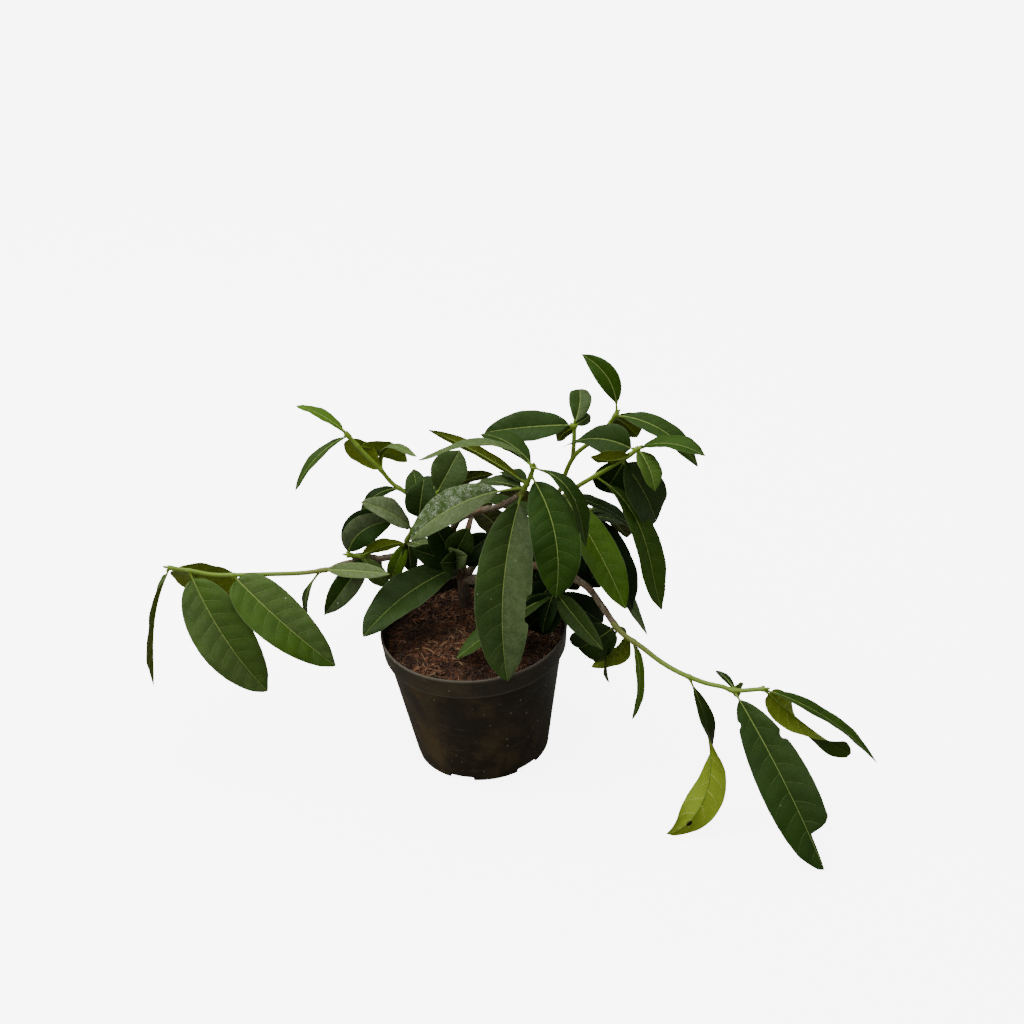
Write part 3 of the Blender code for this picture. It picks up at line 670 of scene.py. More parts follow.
# %% Compost materials
SOIL_DARK = (0.009, 0.004, 0.0025, 1.0)
SOIL_RED = (0.125, 0.046, 0.019, 1.0)
FIBRE_BROWN = (0.140, 0.052, 0.021, 1.0)
FIBRE_STRAW = (0.540, 0.350, 0.190, 1.0)
CRUMB_SCALE = 260.0
CLUMP_SCALE = 55.0
FIBRE_GRAIN_SCALE = 900.0
WET_PATCH_SCALE = 45.0


def soil_material():
    material, tree, shader = new_material("compost", roughness=0.95, specular=0.2)
    place = own_place(tree)
    crumbs = cloud(tree, place, CRUMB_SCALE, 8.0, 0.75)
    clumps = cloud(tree, place, CLUMP_SCALE)
    mixed = plus(tree, times(tree, crumbs, 0.6), times(tree, clumps, 0.4))
    colour = blend(tree, band(tree, mixed, 0.46, 0.66), SOIL_DARK, SOIL_RED)
    feed(tree, shader.inputs["Base Color"], colour)
    bump(tree, shader, crumbs, 1.0, 0.002)
    return material


def fibre_material():
    material, tree, shader = new_material("coir fibre", roughness=0.8, specular=0.25)
    place = own_place(tree)
    shade = split(tree, value_of(tree, "fibre_shade"))[0]
    grain = cloud(tree, place, FIBRE_GRAIN_SCALE)
    wet = band(tree, cloud(tree, place, WET_PATCH_SCALE, 3.0), 0.40, 0.60, 0.75, 0.05)
    feed(tree, shader.inputs["Base Color"], coats(
        tree, SOIL_DARK, (band(tree, shade, 0.0, 0.55), 1.0, FIBRE_BROWN),
        (band(tree, shade, 0.60, 1.0), 1.0, FIBRE_STRAW), (wet, 1.0, SOIL_DARK),
        (grain, 0.4, SOIL_DARK)))
    bump(tree, shader, grain, 0.6, 0.0004)
    return material


SOIL = soil_material()
FIBRE = fibre_material()
print("materials", SOIL.name, "and", FIBRE.name)

# %% [markdown]
# The compost's top is a disc of rings, pushed up and down by noise at three sizes: the broad relief of
# the solid, thumbnail lumps, and crumbs. A sculpted or simulated heap would be slower and no better
# from here, because the loose fibres and chips on top hide the joins. Below, the rings follow the
# pot's inside.

# %% The bed's height
GAP = 0.0003
SOIL_LEVEL = 0.122
SOIL_RELIEF = 0.0035
SOIL_LUMPS = 45.0
LUMP_HEIGHT = 0.0024
LUMPS_PER_METRE = 130.0
CRUMB_HEIGHT = 0.0012
CRUMBS_PER_METRE = 420.0
BED_EDGE = RIM_RADIUS - BAND_TAPER - WALL - GAP


def bed_height(x, y):
    """The compost's height at a place: the solid's own relief, then lumps and crumbs."""
    flat = Vector((x, y, SOIL_LEVEL))
    reach = math.hypot(x, y) / BED_EDGE
    height = SOIL_LEVEL + SOIL_RELIEF * noise.noise(flat * SOIL_LUMPS) - SOIL_RELIEF * reach ** 2
    height += LUMP_HEIGHT * (abs(noise.noise(flat * LUMPS_PER_METRE)) - 0.25)
    return height + CRUMB_HEIGHT * noise.noise(flat * CRUMBS_PER_METRE)


print("height at the middle:", round(bed_height(0.0, 0.0) * 1000, 1), "mm")

# %% [markdown]
# The bed is a tube of rings that shrinks to a point at both ends, so it is a closed body like the
# root ball. The rings lie closer together at the edge, where the bed meets the wall.

# %% The compost bed
RING_CROWDING = 0.8
BED_RINGS = 70
BED_SIDES = 200


def tube_faces(rings, sides, start=0):
    """The four-sided faces between rings of points."""
    return [(low + step, low + sides + step, low + sides + (step + 1) % sides, low + (step + 1) % sides)
            for low in range(start, start + (rings - 1) * sides, sides) for step in range(sides)]


def fan_faces(centre, start, sides, last=False):
    """The faces that close a tube at its first or last ring."""
    pairs = [(start + step, start + (step + 1) % sides) for step in range(sides)]
    return [(centre, after, before) if last else (centre, before, after) for before, after in pairs]


def make_bed(pile):
    clear = WALL + GAP
    rings = [(BED_EDGE * (step / BED_RINGS) ** RING_CROWDING, None) for step in range(1, BED_RINGS + 1)]
    rings += [(BED_EDGE, BAND_FOOT + clear), (outer_radius(BAND_FOOT) - clear, BAND_FOOT),
              (outer_radius(FOOT_LIFT + clear) - clear, FOOT_LIFT + clear),
              (PAD_RADIUS - clear, FOOT_LIFT + clear), (PAD_RADIUS - clear, clear)]
    points = [(0.0, 0.0, bed_height(0.0, 0.0))]
    for radius, height in rings:
        for angle in np.arange(BED_SIDES) * math.tau / BED_SIDES:
            x, y = radius * math.cos(angle), radius * math.sin(angle)
            points.append((x, y, bed_height(x, y) if height is None else height))
    points.append((0.0, 0.0, clear))
    faces = fan_faces(0, 1, BED_SIDES) + tube_faces(len(rings), BED_SIDES, 1)
    faces += fan_faces(len(points) - 1, len(points) - 1 - BED_SIDES, BED_SIDES, last=True)
    pile.add(points, faces)


compost_pile = Pile("fibre_shade")
make_bed(compost_pile)
print("bed faces:", len(compost_pile.faces))

# %% [markdown]
# Stems, branches and fibres are all rods that follow a curve. A Catmull-Rom curve passes through every
# point it is given, which a plain Bezier hull doesn't, so it suits points measured on a plant.

# %% Smooth paths
PATH_STEPS = 10


def unit(vectors):
    return vectors / np.maximum(np.linalg.norm(vectors, axis=-1, keepdims=True), 1e-9)


def smooth_path(points, per_span=PATH_STEPS):
    """Points on the smooth curve that passes through the given ones."""
    knots = np.array(points, float)
    ends = np.vstack([2 * knots[0] - knots[1], knots, 2 * knots[-1] - knots[-2]])
    t = (np.arange(per_span) / per_span)[:, None]
    spans = [0.5 * (2 * start + (end - before) * t
                    + (2 * before - 5 * start + 4 * end - after) * t ** 2
                    + (3 * start - before - 3 * end + after) * t ** 3)
             for before, start, end, after in zip(ends, ends[1:], ends[2:], ends[3:])]
    return np.vstack(spans + [knots[-1:]])


def lengths_along(path):
    steps = np.linalg.norm(np.diff(path, axis=0), axis=1)
    return np.concatenate([[0.0], np.cumsum(steps)])


def point_along(path, share):
    """The point at a share of a path's length, and the way the path runs there."""
    gone = lengths_along(path)
    place = share * gone[-1]
    point = np.array([np.interp(place, gone, path[:, axis]) for axis in range(3)])
    index = min(max(int(np.searchsorted(gone, place)), 1), len(path) - 1)
    return point, unit(path[index] - path[index - 1])


def path_frames(path):
    """A sideways and an upward direction at each point, with no sudden turn between them."""
    ways = unit(np.gradient(path, axis=0))
    side = unit(np.cross(ways[0], (0.13, 0.31, 0.94)))
    sides = []
    for way in ways:
        side = unit(side - way * (side @ way))
        sides.append(side)
    sides = np.array(sides)
    return sides, np.cross(sides, ways)


print("points on a path through three:", len(smooth_path([(0, 0, 0), (0, 0, 1), (0, 1, 1)])))

# %% [markdown]
# A rod is a ring of points swept along a path. A curve object with a bevel would do for one even
# stem, but here the radius changes from point to point, so the same helper makes bark with swollen
# joints, green stems, leaf stalks, pointed buds and fibres. It stores its own length and its roundness
# in metres, which is where the bark's lengthwise grain comes from.

# %% Rods
def rod(pile, path, radii, sides=10, slot=0, age=0.5, ridged=0.0, shade=0.0):
    path = np.asarray(path, float)
    radii = np.broadcast_to(radii, len(path))
    across, upward = path_frames(path)
    gone = lengths_along(path)
    angles = np.arange(sides) * math.tau / sides
    reach = radii[:, None] * (1 + ridged * np.cos(3 * angles))[None, :]
    rings = (path[:, None, :] + across[:, None, :] * (reach * np.cos(angles))[:, :, None]
             + upward[:, None, :] * (reach * np.sin(angles))[:, :, None])
    points = np.vstack([rings.reshape(-1, 3), path[:1], path[-1:]])
    count = len(path) * sides
    faces = tube_faces(len(path), sides) + fan_faces(count, 0, sides)
    faces += fan_faces(count + 1, count - sides, sides, last=True)
    turn = np.tile(angles, len(path))
    size = np.repeat(radii, sides)
    grain = np.column_stack([size * np.cos(turn), size * np.sin(turn), np.repeat(gone, sides)])
    grain = np.vstack([grain, [[0, 0, gone[0]], [0, 0, gone[-1]]]])
    ages = np.broadcast_to(age, len(path))
    ages = np.concatenate([np.repeat(ages, sides), ages[:1], ages[-1:]])
    pile.add(points, faces, slot, stem_place=grain, fibre_shade=np.full((len(points), 3), shade),
             stem_look=np.column_stack([ages, np.zeros((len(ages), 2))]))


print("faces of a rod with 20 rings of 10:", len(tube_faces(20, 10)) + 2 * len(fan_faces(0, 0, 10)))

# %% [markdown]
# On the bed lie chips of bark and a mat of coir fibres. Each fibre is a thin three-sided rod along
# a bent line, resting on the bed, with its own shade. A particle system would be the usual way,
# but it is lost when the model is exported, so the fibres are real meshes.

# %% Fibres
FIBRE_SLOT = 1
FIBRE_STEPS = 4
FIBRE_TAPER = np.array([0.5, 1.0, 1.0, 0.9, 0.4])
FIBRE_BEND = 1.6
FIBRE_LIFT = 0.0016
FIBRE_TILT = 0.10
EDGE_MARGIN = 0.003
EDGE_PULL = 0.97


def bed_place(chance):
    edge = RIM_RADIUS - BAND_TAPER - WALL - EDGE_MARGIN
    radius = edge * math.sqrt(chance.uniform(0.0, 1.0))
    angle = chance.uniform(0, math.tau)
    return radius * math.cos(angle), radius * math.sin(angle), edge


def add_fibre(pile, chance, length, radius, shade):
    x, y, edge = bed_place(chance)
    heading = chance.uniform(0, math.tau)
    bend = chance.uniform(-FIBRE_BEND, FIBRE_BEND)
    lift = chance.uniform(0.0, FIBRE_LIFT)
    tilt = chance.gauss(0.0, FIBRE_TILT)
    path = []
    for step in range(FIBRE_STEPS + 1):
        share = step / FIBRE_STEPS
        angle = heading + bend * share
        path.append((x, y, bed_height(x, y) + radius + lift + tilt * (share - 0.5) * length))
        x += length / FIBRE_STEPS * math.cos(angle)
        y += length / FIBRE_STEPS * math.sin(angle)
        if math.hypot(x, y) > edge:
            x, y = x * EDGE_PULL, y * EDGE_PULL
    rod(pile, path, radius * FIBRE_TAPER, sides=3, slot=FIBRE_SLOT, shade=shade)


print("a fibre has", FIBRE_STEPS, "straight parts")

# %% [markdown]
# A chip of bark is a box with every corner moved a little, so no two are alike. It is so small that a
# better shape would not be seen, and eleven hundred of them have to stay light.

# %% Chips
CHIP_SIZES = (0.0009, 0.0030)
CHIP_LENGTHS = (1.2, 3.0)
CHIP_THICKNESSES = (0.3, 0.8)
CHIP_TILTS = (0.5, 0.4)
CHIP_SHADES = (0.32, 0.16)
CORNER_REACH = (0.6, 1.15)
CHIP_CORNERS = ((-1, -1, -1), (1, -1, -1), (1, 1, -1), (-1, 1, -1),
                (-1, -1, 1), (1, -1, 1), (1, 1, 1), (-1, 1, 1))
CHIP_FACES = [(0, 3, 2, 1), (4, 5, 6, 7), (0, 1, 5, 4), (1, 2, 6, 5), (2, 3, 7, 6), (3, 0, 4, 7)]


def add_chip(pile, chance):
    """One splinter of bark, lying a little tilted and half sunk."""
    x, y, _ = bed_place(chance)
    size = chance.uniform(*CHIP_SIZES)
    long, wide = size * chance.uniform(*CHIP_LENGTHS), size
    thick = size * chance.uniform(*CHIP_THICKNESSES)
    turn = (Matrix.Rotation(chance.uniform(0, math.tau), 3, "Z")
            @ Matrix.Rotation(chance.gauss(0, CHIP_TILTS[0]), 3, "X")
            @ Matrix.Rotation(chance.gauss(0, CHIP_TILTS[1]), 3, "Y"))
    centre = Vector((x, y, bed_height(x, y) + thick * 0.3))
    corners = []
    for sign_x, sign_y, sign_z in CHIP_CORNERS:
        corner = Vector((sign_x * long, sign_y * wide, sign_z * thick)) / 2
        corner *= chance.uniform(*CORNER_REACH)
        corners.append(tuple(centre + turn @ corner))
    shade = min(1.0, max(0.0, chance.gauss(*CHIP_SHADES)))
    pile.add(corners, CHIP_FACES, FIBRE_SLOT, fibre_shade=np.full((len(corners), 3), shade))


print("a chip has", len(CHIP_FACES), "faces")

# %% [markdown]
# Chips lie under the fibres, as the heavier pieces do in a pot. The random draws start from a fixed
# number, so that the heap is the same each time.

# %% Compost
CHIPS = 1100
FIBRES = 3000
LONG_FIBRES = 60
STRAW_SHARE = 0.16
STRAW_SHADES = (0.7, 1.0)
BROWN_SHADES = (0.42, 0.17)
BROWN_LIMITS = (0.05, 0.75)
FIBRE_LENGTHS = (0.004, 0.013)
FIBRE_RADII = (0.00010, 0.00026)
LONG_LENGTHS = (0.015, 0.030)
LONG_RADIUS = 0.00022
LONG_SHADES = (0.75, 1.0)
chance = random.Random(7)

for _ in range(CHIPS):
    add_chip(compost_pile, chance)
for _ in range(FIBRES):
    straw = chance.random() < STRAW_SHARE
    if straw:
        shade = chance.uniform(*STRAW_SHADES)
    else:
        shade = min(BROWN_LIMITS[1], max(BROWN_LIMITS[0], chance.gauss(*BROWN_SHADES)))
    length = chance.uniform(*FIBRE_LENGTHS)
    add_fibre(compost_pile, chance, length, chance.uniform(*FIBRE_RADII), shade)
for _ in range(LONG_FIBRES):
    length = chance.uniform(*LONG_LENGTHS)
    add_fibre(compost_pile, chance, length, LONG_RADIUS, chance.uniform(*LONG_SHADES))
compost = compost_pile.make("compost", [SOIL, FIBRE])
dress(compost, "soil")
print("compost faces:", len(compost.data.polygons))

# %% [markdown]
# The wood is grey-brown bark that has started to crack lengthways. Its foot is darker: stained by the
# wet compost, with painted shade from the leaves above. The cracks are noise, drawn out along each
# rod's own length. Noise in plain space would run across the branches that lean.

# %% Bark material
BARK_DARK = (0.040, 0.030, 0.020, 1.0)
BARK_GREY = (0.190, 0.152, 0.100, 1.0)
BARK_RED = (0.120, 0.065, 0.034, 1.0)
BARK_DAMP_AND_SHADE = (0.024, 0.014, 0.009, 1.0)
PORE = (0.270, 0.240, 0.160, 1.0)
DARK_FOOT_REACH = 0.045
BARK_STRETCH = (900.0, 900.0, 170.0)
RED_PATCH_SCALE = 45.0


def bark_material():
    material, tree, shader = new_material("laurel bark", roughness=0.85, specular=0.3)
    place = own_place(tree)
    grain = stretched(tree, value_of(tree, "stem_place"), BARK_STRETCH)
    ridges = cloud(tree, grain, 1.0, 8.0, 0.7)
    dust = place_group(tree, DUST, Place=place, Film_Scale=50.0, Film_Amount=0.6, Speck_Scale=420.0,
                       Speck_Amount=0.10)
    red = band(tree, cloud(tree, place, RED_PATCH_SCALE), 0.45, 0.70, 0.0, 0.75)
    # Darker near the compost: a damp stain and painted shade in one.
    damp_and_shade = band(tree, split(tree, place)[2], SOIL_LEVEL, SOIL_LEVEL + DARK_FOOT_REACH, 0.85, 0.0)
    feed(tree, shader.inputs["Base Color"], coats(
        tree, BARK_DARK, (band(tree, ridges, 0.35, 0.62), 1.0, BARK_GREY), (red, 1.0, BARK_RED),
        (dust["Specks"], 0.6, PORE), (damp_and_shade, 1.0, BARK_DAMP_AND_SHADE)))
    bump(tree, shader, plus(tree, ridges, times(tree, dust["Specks"], 0.2)), 0.9, 0.0008)
    return material


BARK = bark_material()
print("material", BARK.name)

# %% [markdown]
# The trunk divides just above the compost. The table says where each branch passes and how thick it is
# at both ends. It has the same numbers as the packed solids, so each fine branch lies on its solid.

# %% The wood's layout
TRUNK_RADIUS = 0.0058
TRUNK_TOP_RADIUS = 0.0052
TRUNK_SINK = 0.020

# The crown is where the trunk divides, just above the soil
CROWN = (-0.008, 0.052, 0.146)
TRUNK = [(-0.008, 0.050, SOIL_LEVEL - TRUNK_SINK), (-0.008, 0.050, 0.130), CROWN]

# Woody branches: the points each passes through, and its radius at both ends
Branch = namedtuple("Branch", "points radii")
BRANCHES = {
    "left": Branch([CROWN, (-0.021, 0.054, 0.168), (-0.045, 0.048, 0.182), (-0.089, 0.044, 0.181),
                    (-0.111, 0.042, 0.181), (-0.125, 0.040, 0.178)], (0.0038, 0.0025)),
    "upper_left": Branch([CROWN, (-0.016, 0.058, 0.175), (-0.028, 0.064, 0.205)], (0.0032, 0.0024)),
    "centre": Branch([CROWN, (-0.014, 0.049, 0.168), (-0.016, 0.040, 0.192), (-0.008, 0.026, 0.226),
                      (0.012, 0.012, 0.244), (0.032, 0.000, 0.255), (0.049, -0.010, 0.271)],
                     (0.0036, 0.0026)),
    "top": Branch([CROWN, (0.020, 0.058, 0.180), (0.052, 0.048, 0.206), (0.074, 0.036, 0.226)],
                  (0.0036, 0.0025)),
    "right": Branch([CROWN, (0.008, 0.040, 0.154), (0.046, 0.010, 0.184), (0.072, -0.010, 0.194),
                     (0.094, -0.029, 0.192), (0.106, -0.036, 0.184), (0.114, -0.042, 0.173),
                     (0.124, -0.054, 0.160)], (0.0042, 0.0028)),
    "left_low": Branch([(-0.086, 0.044, 0.181), (-0.091, 0.039, 0.188)], (0.0024, 0.0020)),
    "left_upright": Branch([(-0.052, 0.047, 0.182), (-0.055, 0.043, 0.196)], (0.0025, 0.0021)),
    "crown": Branch([(-0.006, 0.052, 0.154), (-0.006, 0.040, 0.170)], (0.0026, 0.0021)),
    "right_upper": Branch([(0.052, 0.048, 0.206), (0.070, 0.030, 0.228), (0.084, 0.019, 0.245)],
                          (0.0028, 0.0025)),
    "right_inner": Branch([(0.036, 0.054, 0.194), (0.058, 0.042, 0.196), (0.074, 0.034, 0.200)],
                          (0.0028, 0.0023)),
    "right_low": Branch([(0.072, -0.010, 0.194), (0.076, -0.009, 0.184)], (0.0028, 0.0023)),
    "back": Branch([CROWN, (-0.004, 0.072, 0.172), (0.004, 0.096, 0.190)], (0.0034, 0.0025)),
}
print("branches:", len(BRANCHES))

# %% [markdown]
# The trunk and branches are bark rods that run into each other, as a sculptor would stack clay rolls.
# Last year's growth ended in rings and each fallen leaf left a scar, so the radius swells a little at
# uneven distances, and noise at two sizes breaks the outline. Displacing the finished mesh would do
# the same more slowly.

# %% Wood
SWELLING = 0.12
SWELLING_REACH = 0.0022
FIRST_SWELLING = (0.006, 0.015)
SWELLING_STEPS = (0.012, 0.025)
RING_STEP = 0.0016
KNURLS = ((420.0, 0.07), (150.0, 0.08))


def swollen(path, radii, seed):
    """Radii from one end to the other, with a rounded swelling every 12 to 25 mm."""
    chance = random.Random(seed)
    gone = lengths_along(path)
    size = np.interp(gone, [0, gone[-1]], radii)
    place = chance.uniform(*FIRST_SWELLING)
    while place < gone[-1]:
        size = size * (1 + SWELLING * np.exp(-((gone - place) / SWELLING_REACH) ** 2))
        place += chance.uniform(*SWELLING_STEPS)
    return size


def rough_rod(pile, points, radii, seed, sides=16):
    path = smooth_path(points)
    count = max(8, int(lengths_along(path)[-1] / RING_STEP))
    path = np.array([point_along(path, share)[0] for share in np.linspace(0, 1, count)])
    rod(pile, path, swollen(path, radii, seed), sides=sides)
    block = pile.points[-1]
    for index, point in enumerate(block[:count * sides]):
        knurl = sum(noise.noise(Vector(point) * per_metre) * height for per_metre, height in KNURLS)
        block[index] = point + (point - path[index // sides]) * knurl


wood_pile = Pile("stem_place")
rough_rod(wood_pile, TRUNK, (TRUNK_RADIUS, TRUNK_TOP_RADIUS), 1, sides=24)
for seed, branch in enumerate(BRANCHES.values()):
    rough_rod(wood_pile, branch.points, branch.radii, seed + 2)
wood = wood_pile.make("bark_frame", [BARK])
dress(wood, "trunk_and_branches")
print("wood faces:", len(wood.data.polygons))

# %% [markdown]
# Every leaf has a pale midrib, eight or nine side veins that curve forward to the edge, and a fine net
# between them. The leaf mesh carries its own coordinates as attributes, so the veins follow each leaf
# however it bends: how far along it a point is, how far from the midrib, and how many side veins lie
# below it. A painted picture would need a map for each leaf. This group needs none.

# %% Vein group
RIB_SHRINK = 0.72
VEIN_WOBBLE = 0.16
VEIN_THICKNESS = 0.035
WOBBLE_SCALE = 160.0
NET_SCALE = 620.0


def vein_group():
    group, given, out = new_group(
        "Leaf veins",
        {"Place": None, "Along": 0.0, "Off Midrib": 0.0, "Edge Share": 0.0, "Vein Count": 0.0,
         "Rib Width": 0.8},
        ("Rib", "Veins", "Net", "Edge"))
    shrink = maths(group, "SUBTRACT", 1.0, times(group, given["Along"], RIB_SHRINK))
    width = times(group, given["Rib Width"], shrink)
    rib = band(group, given["Off Midrib"], times(group, width, 0.45), width, 1.0, 0.0)
    shake = maths(group, "SUBTRACT", cloud(group, given["Place"], WOBBLE_SCALE), 0.5)
    count = plus(group, given["Vein Count"], times(group, shake, VEIN_WOBBLE))
    thin = plus(group, times(group, given["Edge Share"], -0.02), VEIN_THICKNESS)
    line = band(group, maths(group, "PINGPONG", count, 0.5), times(group, thin, 0.4),
                times(group, thin, 1.6), 1.0, 0.0)
    crowd = cells(group, given["Place"], NET_SCALE)
    crowd.feature = "DISTANCE_TO_EDGE"
    feed(group, out["Rib"], rib)
    feed(group, out["Veins"], times(group, line, band(group, given["Edge Share"], 0.62, 0.97, 1.0, 0.0)))
    feed(group, out["Net"], band(group, crowd.outputs["Distance"], 0.02, 0.13, 1.0, 0.0))
    feed(group, out["Edge"], band(group, given["Edge Share"], 0.955, 0.995))
    return group


VEINS = vein_group()
print("group", VEINS.name, [socket.name for socket in VEINS.interface.items_tree])

# %% [markdown]
# A laurel leaf is leathery: dark, waxed green above, paler and duller below. Young leaves are
# yellower, and some old ones carry a painted grey sheen where the wax would catch the sky. On one,
# a painted pale net of sheen lies on one half. Upper faces deep in the plant get painted shade. One
# material does them all. The mesh says which face it is, how young the leaf is, and how much painted
# sheen and painted shade it has. A material for each leaf would be ninety materials.
# Sub-surface light is left out: it is slow, and the blades here are opaque enough.

# %% Leaf colours
LEAF_OLD = (0.0062, 0.027, 0.0012, 1.0)
LEAF_YOUNG = (0.072, 0.158, 0.0026, 1.0)
PAINTED_SHEEN_GREY = (0.122, 0.150, 0.074, 1.0)
PAINTED_SHEEN_NET = (0.420, 0.470, 0.380, 1.0)
# Painted shade: the near-black green of upper faces inside the plant.
PAINTED_LEAF_SHADE = (0.002, 0.004, 0.0004, 1.0)
UNDER_OLD = (0.040, 0.050, 0.006, 1.0)
UNDER_YOUNG = (0.185, 0.255, 0.018, 1.0)
RIB_ABOVE = (0.250, 0.325, 0.090, 1.0)
RIB_BELOW = (0.400, 0.460, 0.100, 1.0)
LEAF_EDGE = (0.120, 0.160, 0.070, 1.0)
SPECK = (0.300, 0.330, 0.270, 1.0)
BLACK = (0.0, 0.0, 0.0, 1.0)
MOTTLE_SCALE = 190.0


def leaf_above(tree, veins, age, bloom, shade, worn):
    """The upper face: its green, then veins, painted sheen, edge, midrib and painted shade over each
    other.
    """
    mottle = band(tree, cloud(tree, own_place(tree), MOTTLE_SCALE, 6.0, 0.75), 0.42, 0.60)
    # Painted sheen: a mottled grey where the wax would catch the sky.
    sheen_mask = times(tree, bloom, plus(tree, times(tree, mottle, 0.38), 0.62))
    # Painted sheen in a pale net, on one half of the leaf.
    sheen_net_mask = times(tree, times(tree, veins["Net"], mottle), worn)
    # The last coat is painted shade, which darkens the upper face of leaves inside the plant.
    return coats(tree, blend(tree, age, LEAF_OLD, LEAF_YOUNG),
                 (veins["Veins"], 0.11, RIB_ABOVE), (veins["Net"], 0.03, RIB_ABOVE),
                 (sheen_mask, 1.0, PAINTED_SHEEN_GREY), (sheen_net_mask, 0.70, PAINTED_SHEEN_NET), (veins["Edge"], 0.55, LEAF_EDGE),
                 (veins["Rib"], 0.85, RIB_ABOVE), (shade, 0.95, PAINTED_LEAF_SHADE))


def leaf_below(tree, veins, age):
    return coats(tree, blend(tree, age, UNDER_OLD, UNDER_YOUNG), (veins["Veins"], 0.55, RIB_BELOW),
                 (veins["Net"], 0.22, UNDER_OLD), (veins["Rib"], 0.75, RIB_BELOW))


print("leaf colours from", LEAF_OLD[:3], "to", LEAF_YOUNG[:3])

# %% [markdown]
# The leaf material puts these together. It reads the mesh's nine numbers, asks the vein group and
# the dust group for their masks, and takes the upper or the under colours by the face it is on.
# Veins are sunk above and raised below, so the relief is turned over from one face to the other.

# %% Leaf material
RIB_WIDTH = 0.72
PATCH_SCALE = 30.0
SKIN_GRAIN_SCALE = 420.0


def leaf_material():
    material, tree, shader = new_material("laurel leaf", roughness=0.45, specular=0.08)
    place = own_place(tree)
    along, off, edge_share = split(tree, value_of(tree, "leaf_place"))
    # The third number of the look is the painted sheen.
    count, young, bloom = split(tree, value_of(tree, "leaf_look"))
    # shade is the painted shade of the upper face; the third number is the painted net of sheen.
    under, shade, worn = split(tree, value_of(tree, "leaf_side"))
    veins = place_group(tree, VEINS, Place=place, Along=along, Off_Midrib=off, Edge_Share=edge_share,
                        Vein_Count=count, Rib_Width=RIB_WIDTH)
    dust = place_group(tree, DUST, Place=place, Film_Scale=38.0, Film_Amount=0.45, Speck_Scale=260.0,
                       Speck_Amount=0.014)
    broad = cloud(tree, place, PATCH_SCALE, 3.0)
    fine = cloud(tree, place, SKIN_GRAIN_SCALE, 5.0, 0.65)
    age = band(tree, plus(tree, young, times(tree, maths(tree, "SUBTRACT", broad, 0.5), 0.35)), 0.0, 1.0)
    above = leaf_above(tree, veins, age, bloom, shade, worn)
    colour = blend(tree, under, above, leaf_below(tree, veins, age))
    feed(tree, shader.inputs["Base Color"],
         coats(tree, colour, (fine, 0.25, BLACK), (dust["Specks"], 0.8, SPECK)))
    wax = plus(tree, times(tree, broad, 0.16), 0.38)
    feed(tree, shader.inputs["Roughness"], plus(tree, wax, times(tree, under, 0.22)))
    relief = plus(tree, times(tree, veins["Veins"], 0.8), times(tree, veins["Net"], 0.25))
    relief = plus(tree, relief, times(tree, fine, 0.35))
    sunk_or_raised = maths(tree, "SUBTRACT", times(tree, under, 2.0), 1.0)
    bump(tree, shader, times(tree, relief, sunk_or_raised), 0.8, 0.0005)
    return material


LEAF = leaf_material()
print("material", LEAF.name)

# %% [markdown]
# The young stems and the leaf stalks are smooth and yellow-green, with a browner blush at their old
# end and pale pores. The rods say how old the stem is at each point, so the blush fades along every
# stem, which a colour chosen for the whole stem couldn't do.

# %% Stem material
STEM_GREEN = (0.125, 0.200, 0.014, 1.0)
STEM_DEEP = (0.060, 0.100, 0.012, 1.0)
STEM_BROWN = (0.120, 0.112, 0.022, 1.0)
BLUSH_SCALE = 60.0
PORE_SCALE = 330.0


def stem_material():
    material, tree, shader = new_material("green stem", roughness=0.45, specular=0.3)
    place = own_place(tree)
    age = split(tree, value_of(tree, "stem_look"))[0]
    patch = cloud(tree, place, BLUSH_SCALE)
    mark = band(tree, cells(tree, place, PORE_SCALE).outputs["Distance"], 0.10, 0.25, 1.0, 0.0)
    brown = band(tree, plus(tree, age, times(tree, patch, 0.5)), 0.25, 0.65, 0.9, 0.0)
    feed(tree, shader.inputs["Base Color"], coats(
        tree, STEM_GREEN, (brown, 1.0, STEM_BROWN), (patch, 0.35, STEM_DEEP), (mark, 0.35, PORE)))
    bump(tree, shader, plus(tree, mark, times(tree, patch, 0.6)), 0.4, 0.0003)
    return material


STEM = stem_material()
print("material", STEM.name)

# %% [markdown]
# On one leaf a spot has died. Dead leaf is black, dry and cracked, so the spot has a crusty
# material of its own, and later its own faces too. A dark patch in the leaf's material would need
# the spot's place in every leaf.

# %% Dead leaf material
DEAD_BLACK = (0.004, 0.003, 0.002, 1.0)
DEAD_BROWN = (0.045, 0.024, 0.010, 1.0)
CRUST_SCALE = 900.0
CRACK_SCALE = 1400.0


def dead_material():
    material, tree, shader = new_material("dead leaf spot", roughness=0.85, specular=0.1)
    place = own_place(tree)
    crust = cloud(tree, place, CRUST_SCALE, 6.0, 0.7)
    cracks = cells(tree, place, CRACK_SCALE).outputs["Distance"]
    colour = blend(tree, band(tree, crust, 0.48, 0.72), DEAD_BLACK, DEAD_BROWN)
    feed(tree, shader.inputs["Base Color"], colour)
    bump(tree, shader, plus(tree, crust, cracks), 0.8, 0.0003)
    return material


DEAD = dead_material()
print("material", DEAD.name)

# %% [markdown]
# Now the shoots: their green twigs and their leaves. The tables are the same as in the packed solids,
# so each fine leaf lies on its solid. Leaves scattered by a rule would be shorter to write, but this
# plant is known by where its long stems and large leaves hang, so each leaf has a line of its own.

# %% What a leaf is
# Where a leaf's upper face looks
UP = (0.0, 0.0, 1.0)
FRONT = (0.0, -1.0, 0.45)
BACK = (0.0, 1.0, 0.35)
LEFT = (-1.0, 0.0, 0.3)

